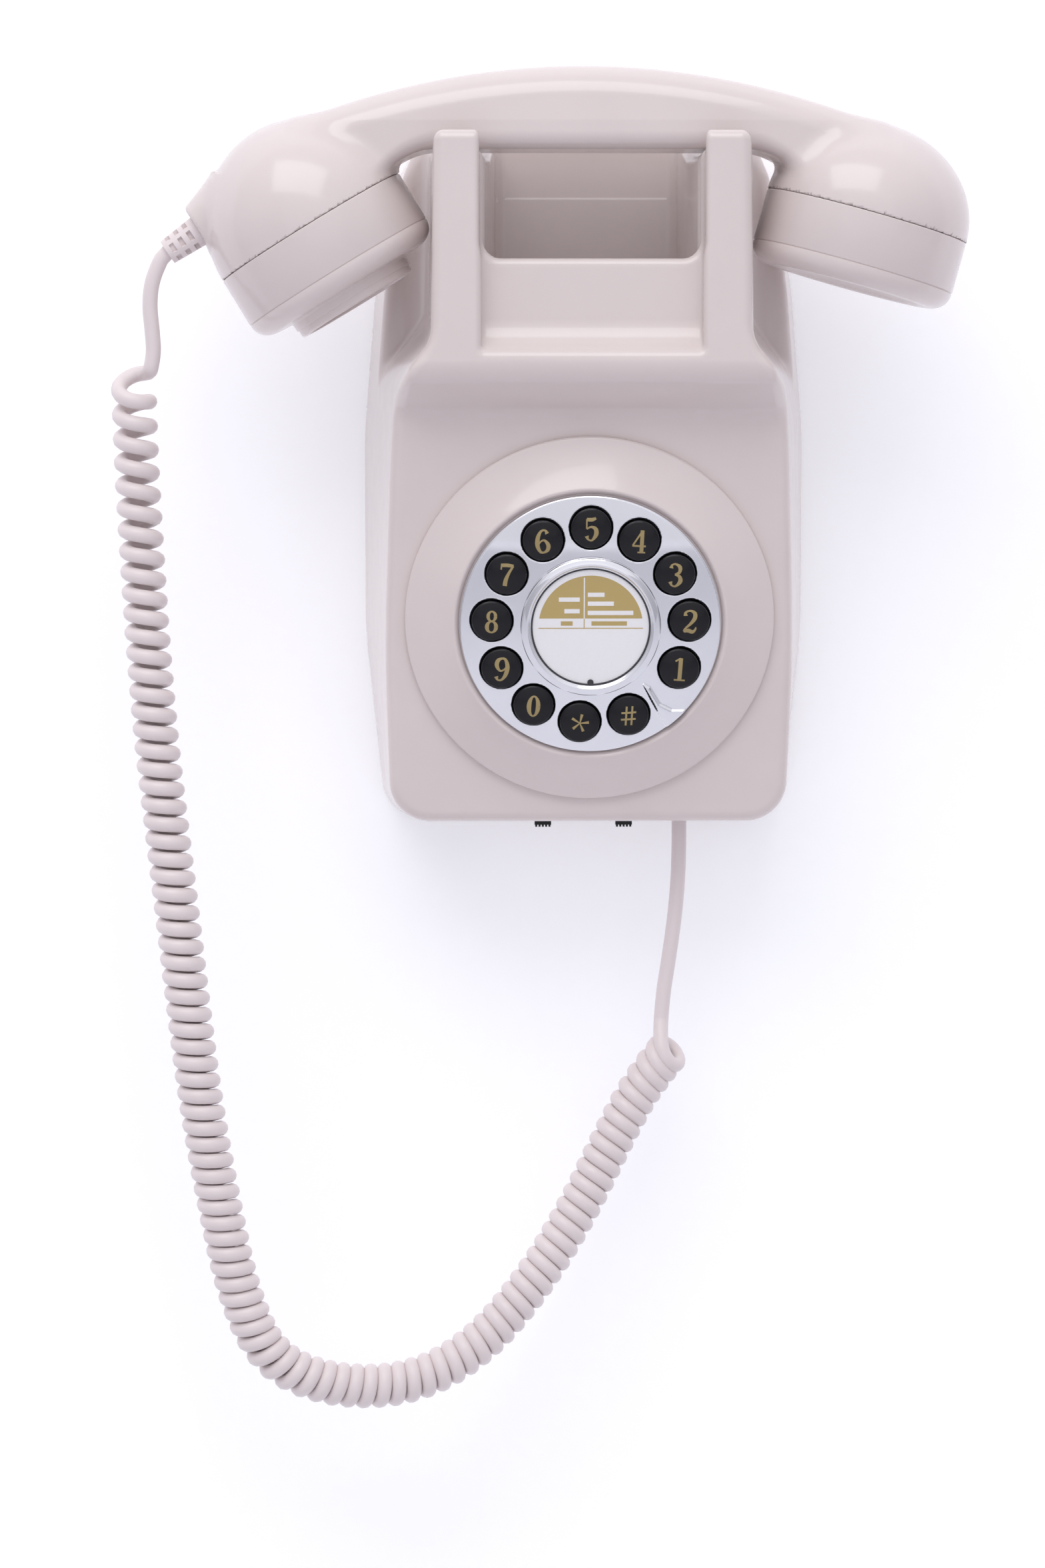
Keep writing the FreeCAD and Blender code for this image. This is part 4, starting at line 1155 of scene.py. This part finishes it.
# ---- studio ----
def add_backdrop(name, near, far, material):
    """A wide plane between two level lines across the view, each given by its (y, z)."""
    mesh = bpy.data.meshes.new(name)
    corners = [(-BACKDROP_HALF, *near), (BACKDROP_HALF, *near), (BACKDROP_HALF, *far),
               (-BACKDROP_HALF, *far)]
    mesh.from_pydata(corners, [], [[0, 1, 2, 3]])
    mesh.materials.append(material)
    new_object(name, mesh)


def backdrop_material(name, colour, glow):
    """A pale surface that is open from behind, so that the back of the phone can be seen too."""
    material, nodes, links, shader = new_material(name)
    paper = noise(nodes, links, 300.0)
    links.new(ramp(nodes, links, paper, [(0.3, shaded(colour, 0.985)), (0.7, colour)]),
              shader.inputs["Base Color"])
    shader.inputs["Roughness"].default_value = 0.8
    shader.inputs["Specular IOR Level"].default_value = 0.1
    shader.inputs["Emission Color"].default_value = (0.97, 0.97, 1.0, 1.0)
    shader.inputs["Emission Strength"].default_value = glow
    facing = nodes.new("ShaderNodeNewGeometry")
    through = nodes.new("ShaderNodeBsdfTransparent")
    mix_shaders(material, links, facing.outputs["Backfacing"], shader, through)
    return material


BACKDROP_HALF = 3.0
FLOOR_Z = -1.0
wall_y = cad_high.y + 0.0004
backdrop_white = backdrop_material("backdrop_white", (0.875, 0.875, 0.9, 1.0), 0.26)
floor_white = backdrop_material("floor_white", (0.72, 0.72, 0.75, 1.0), 0.0)
add_backdrop("wall", (wall_y, FLOOR_Z), (wall_y, BACKDROP_HALF), backdrop_white)
add_backdrop("floor", (-2 * BACKDROP_HALF, FLOOR_Z), (wall_y, FLOOR_Z), floor_white)

world = bpy.data.worlds.new("studio")
bpy.context.scene.world = world
world.use_nodes = True
world_nodes = world.node_tree.nodes
world_links = world.node_tree.links
direction = world_nodes.new("ShaderNodeTexCoord")
split = world_nodes.new("ShaderNodeSeparateXYZ")
world_links.new(direction.outputs["Generated"], split.inputs["Vector"])
height_share = spread(world_nodes, world_links, split.outputs["Z"], 0.0, 1.0)
height_share.node.inputs["From Min"].default_value = -0.7
height_share.node.inputs["From Max"].default_value = 0.9
sky = ramp(world_nodes, world_links, height_share,
           [(0.0, (0.3, 0.3, 0.33, 1)), (0.45, (0.5, 0.5, 0.55, 1)), (1.0, (0.95, 0.95, 1.0, 1))])
world_links.new(sky, world_nodes["Background"].inputs["Color"])
world_nodes["Background"].inputs["Strength"].default_value = 1.0


def softbox(name, place, target, width, height, power, colour=(1.0, 1.0, 1.0)):
    light = bpy.data.lights.new(name, "AREA")
    light.shape = "RECTANGLE"
    light.size = width
    light.size_y = height
    light.energy = power
    light.color = colour
    lamp = new_object(name, light)
    lamp.location = place
    lamp.rotation_euler = (Vector(target) - Vector(place)).to_track_quat("-Z", "Y").to_euler()


OBJECT_MIDDLE = (0.0, -0.05, 0.0)
softbox("key", (-0.35, -1.2, 1.5), OBJECT_MIDDLE, 1.7, 1.2, 14.0)
softbox("front", (0.0, -2.4, 0.5), OBJECT_MIDDLE, 2.6, 2.0, 5.0, (0.97, 0.97, 1.0))

CAMERA_PLACE = Vector((-0.04395, -1.5, 0.025))
FOCAL_RATIO = 7464 / 2352               # focal length over frame height
CAMERA_YAW = math.atan(127 / 7442)
CAMERA_PITCH = math.atan(576 / 7442)
camera_data = bpy.data.cameras.new("camera")
camera_data.sensor_width = 36.0
camera_data.lens = FOCAL_RATIO * camera_data.sensor_width
camera = new_object("camera", camera_data)
ahead = Vector((math.sin(CAMERA_YAW) * math.cos(CAMERA_PITCH), math.cos(CAMERA_YAW) * math.cos(CAMERA_PITCH),
                -math.sin(CAMERA_PITCH)))
rightwards = Vector((math.cos(CAMERA_YAW), -math.sin(CAMERA_YAW), 0.0))
upwards = rightwards.cross(ahead)
camera.matrix_world = (Matrix.Translation(CAMERA_PLACE)
                       @ Matrix((rightwards, upwards, -ahead)).transposed().to_4x4())
bpy.context.scene.camera = camera
bpy.context.scene.view_settings.view_transform = "Standard"
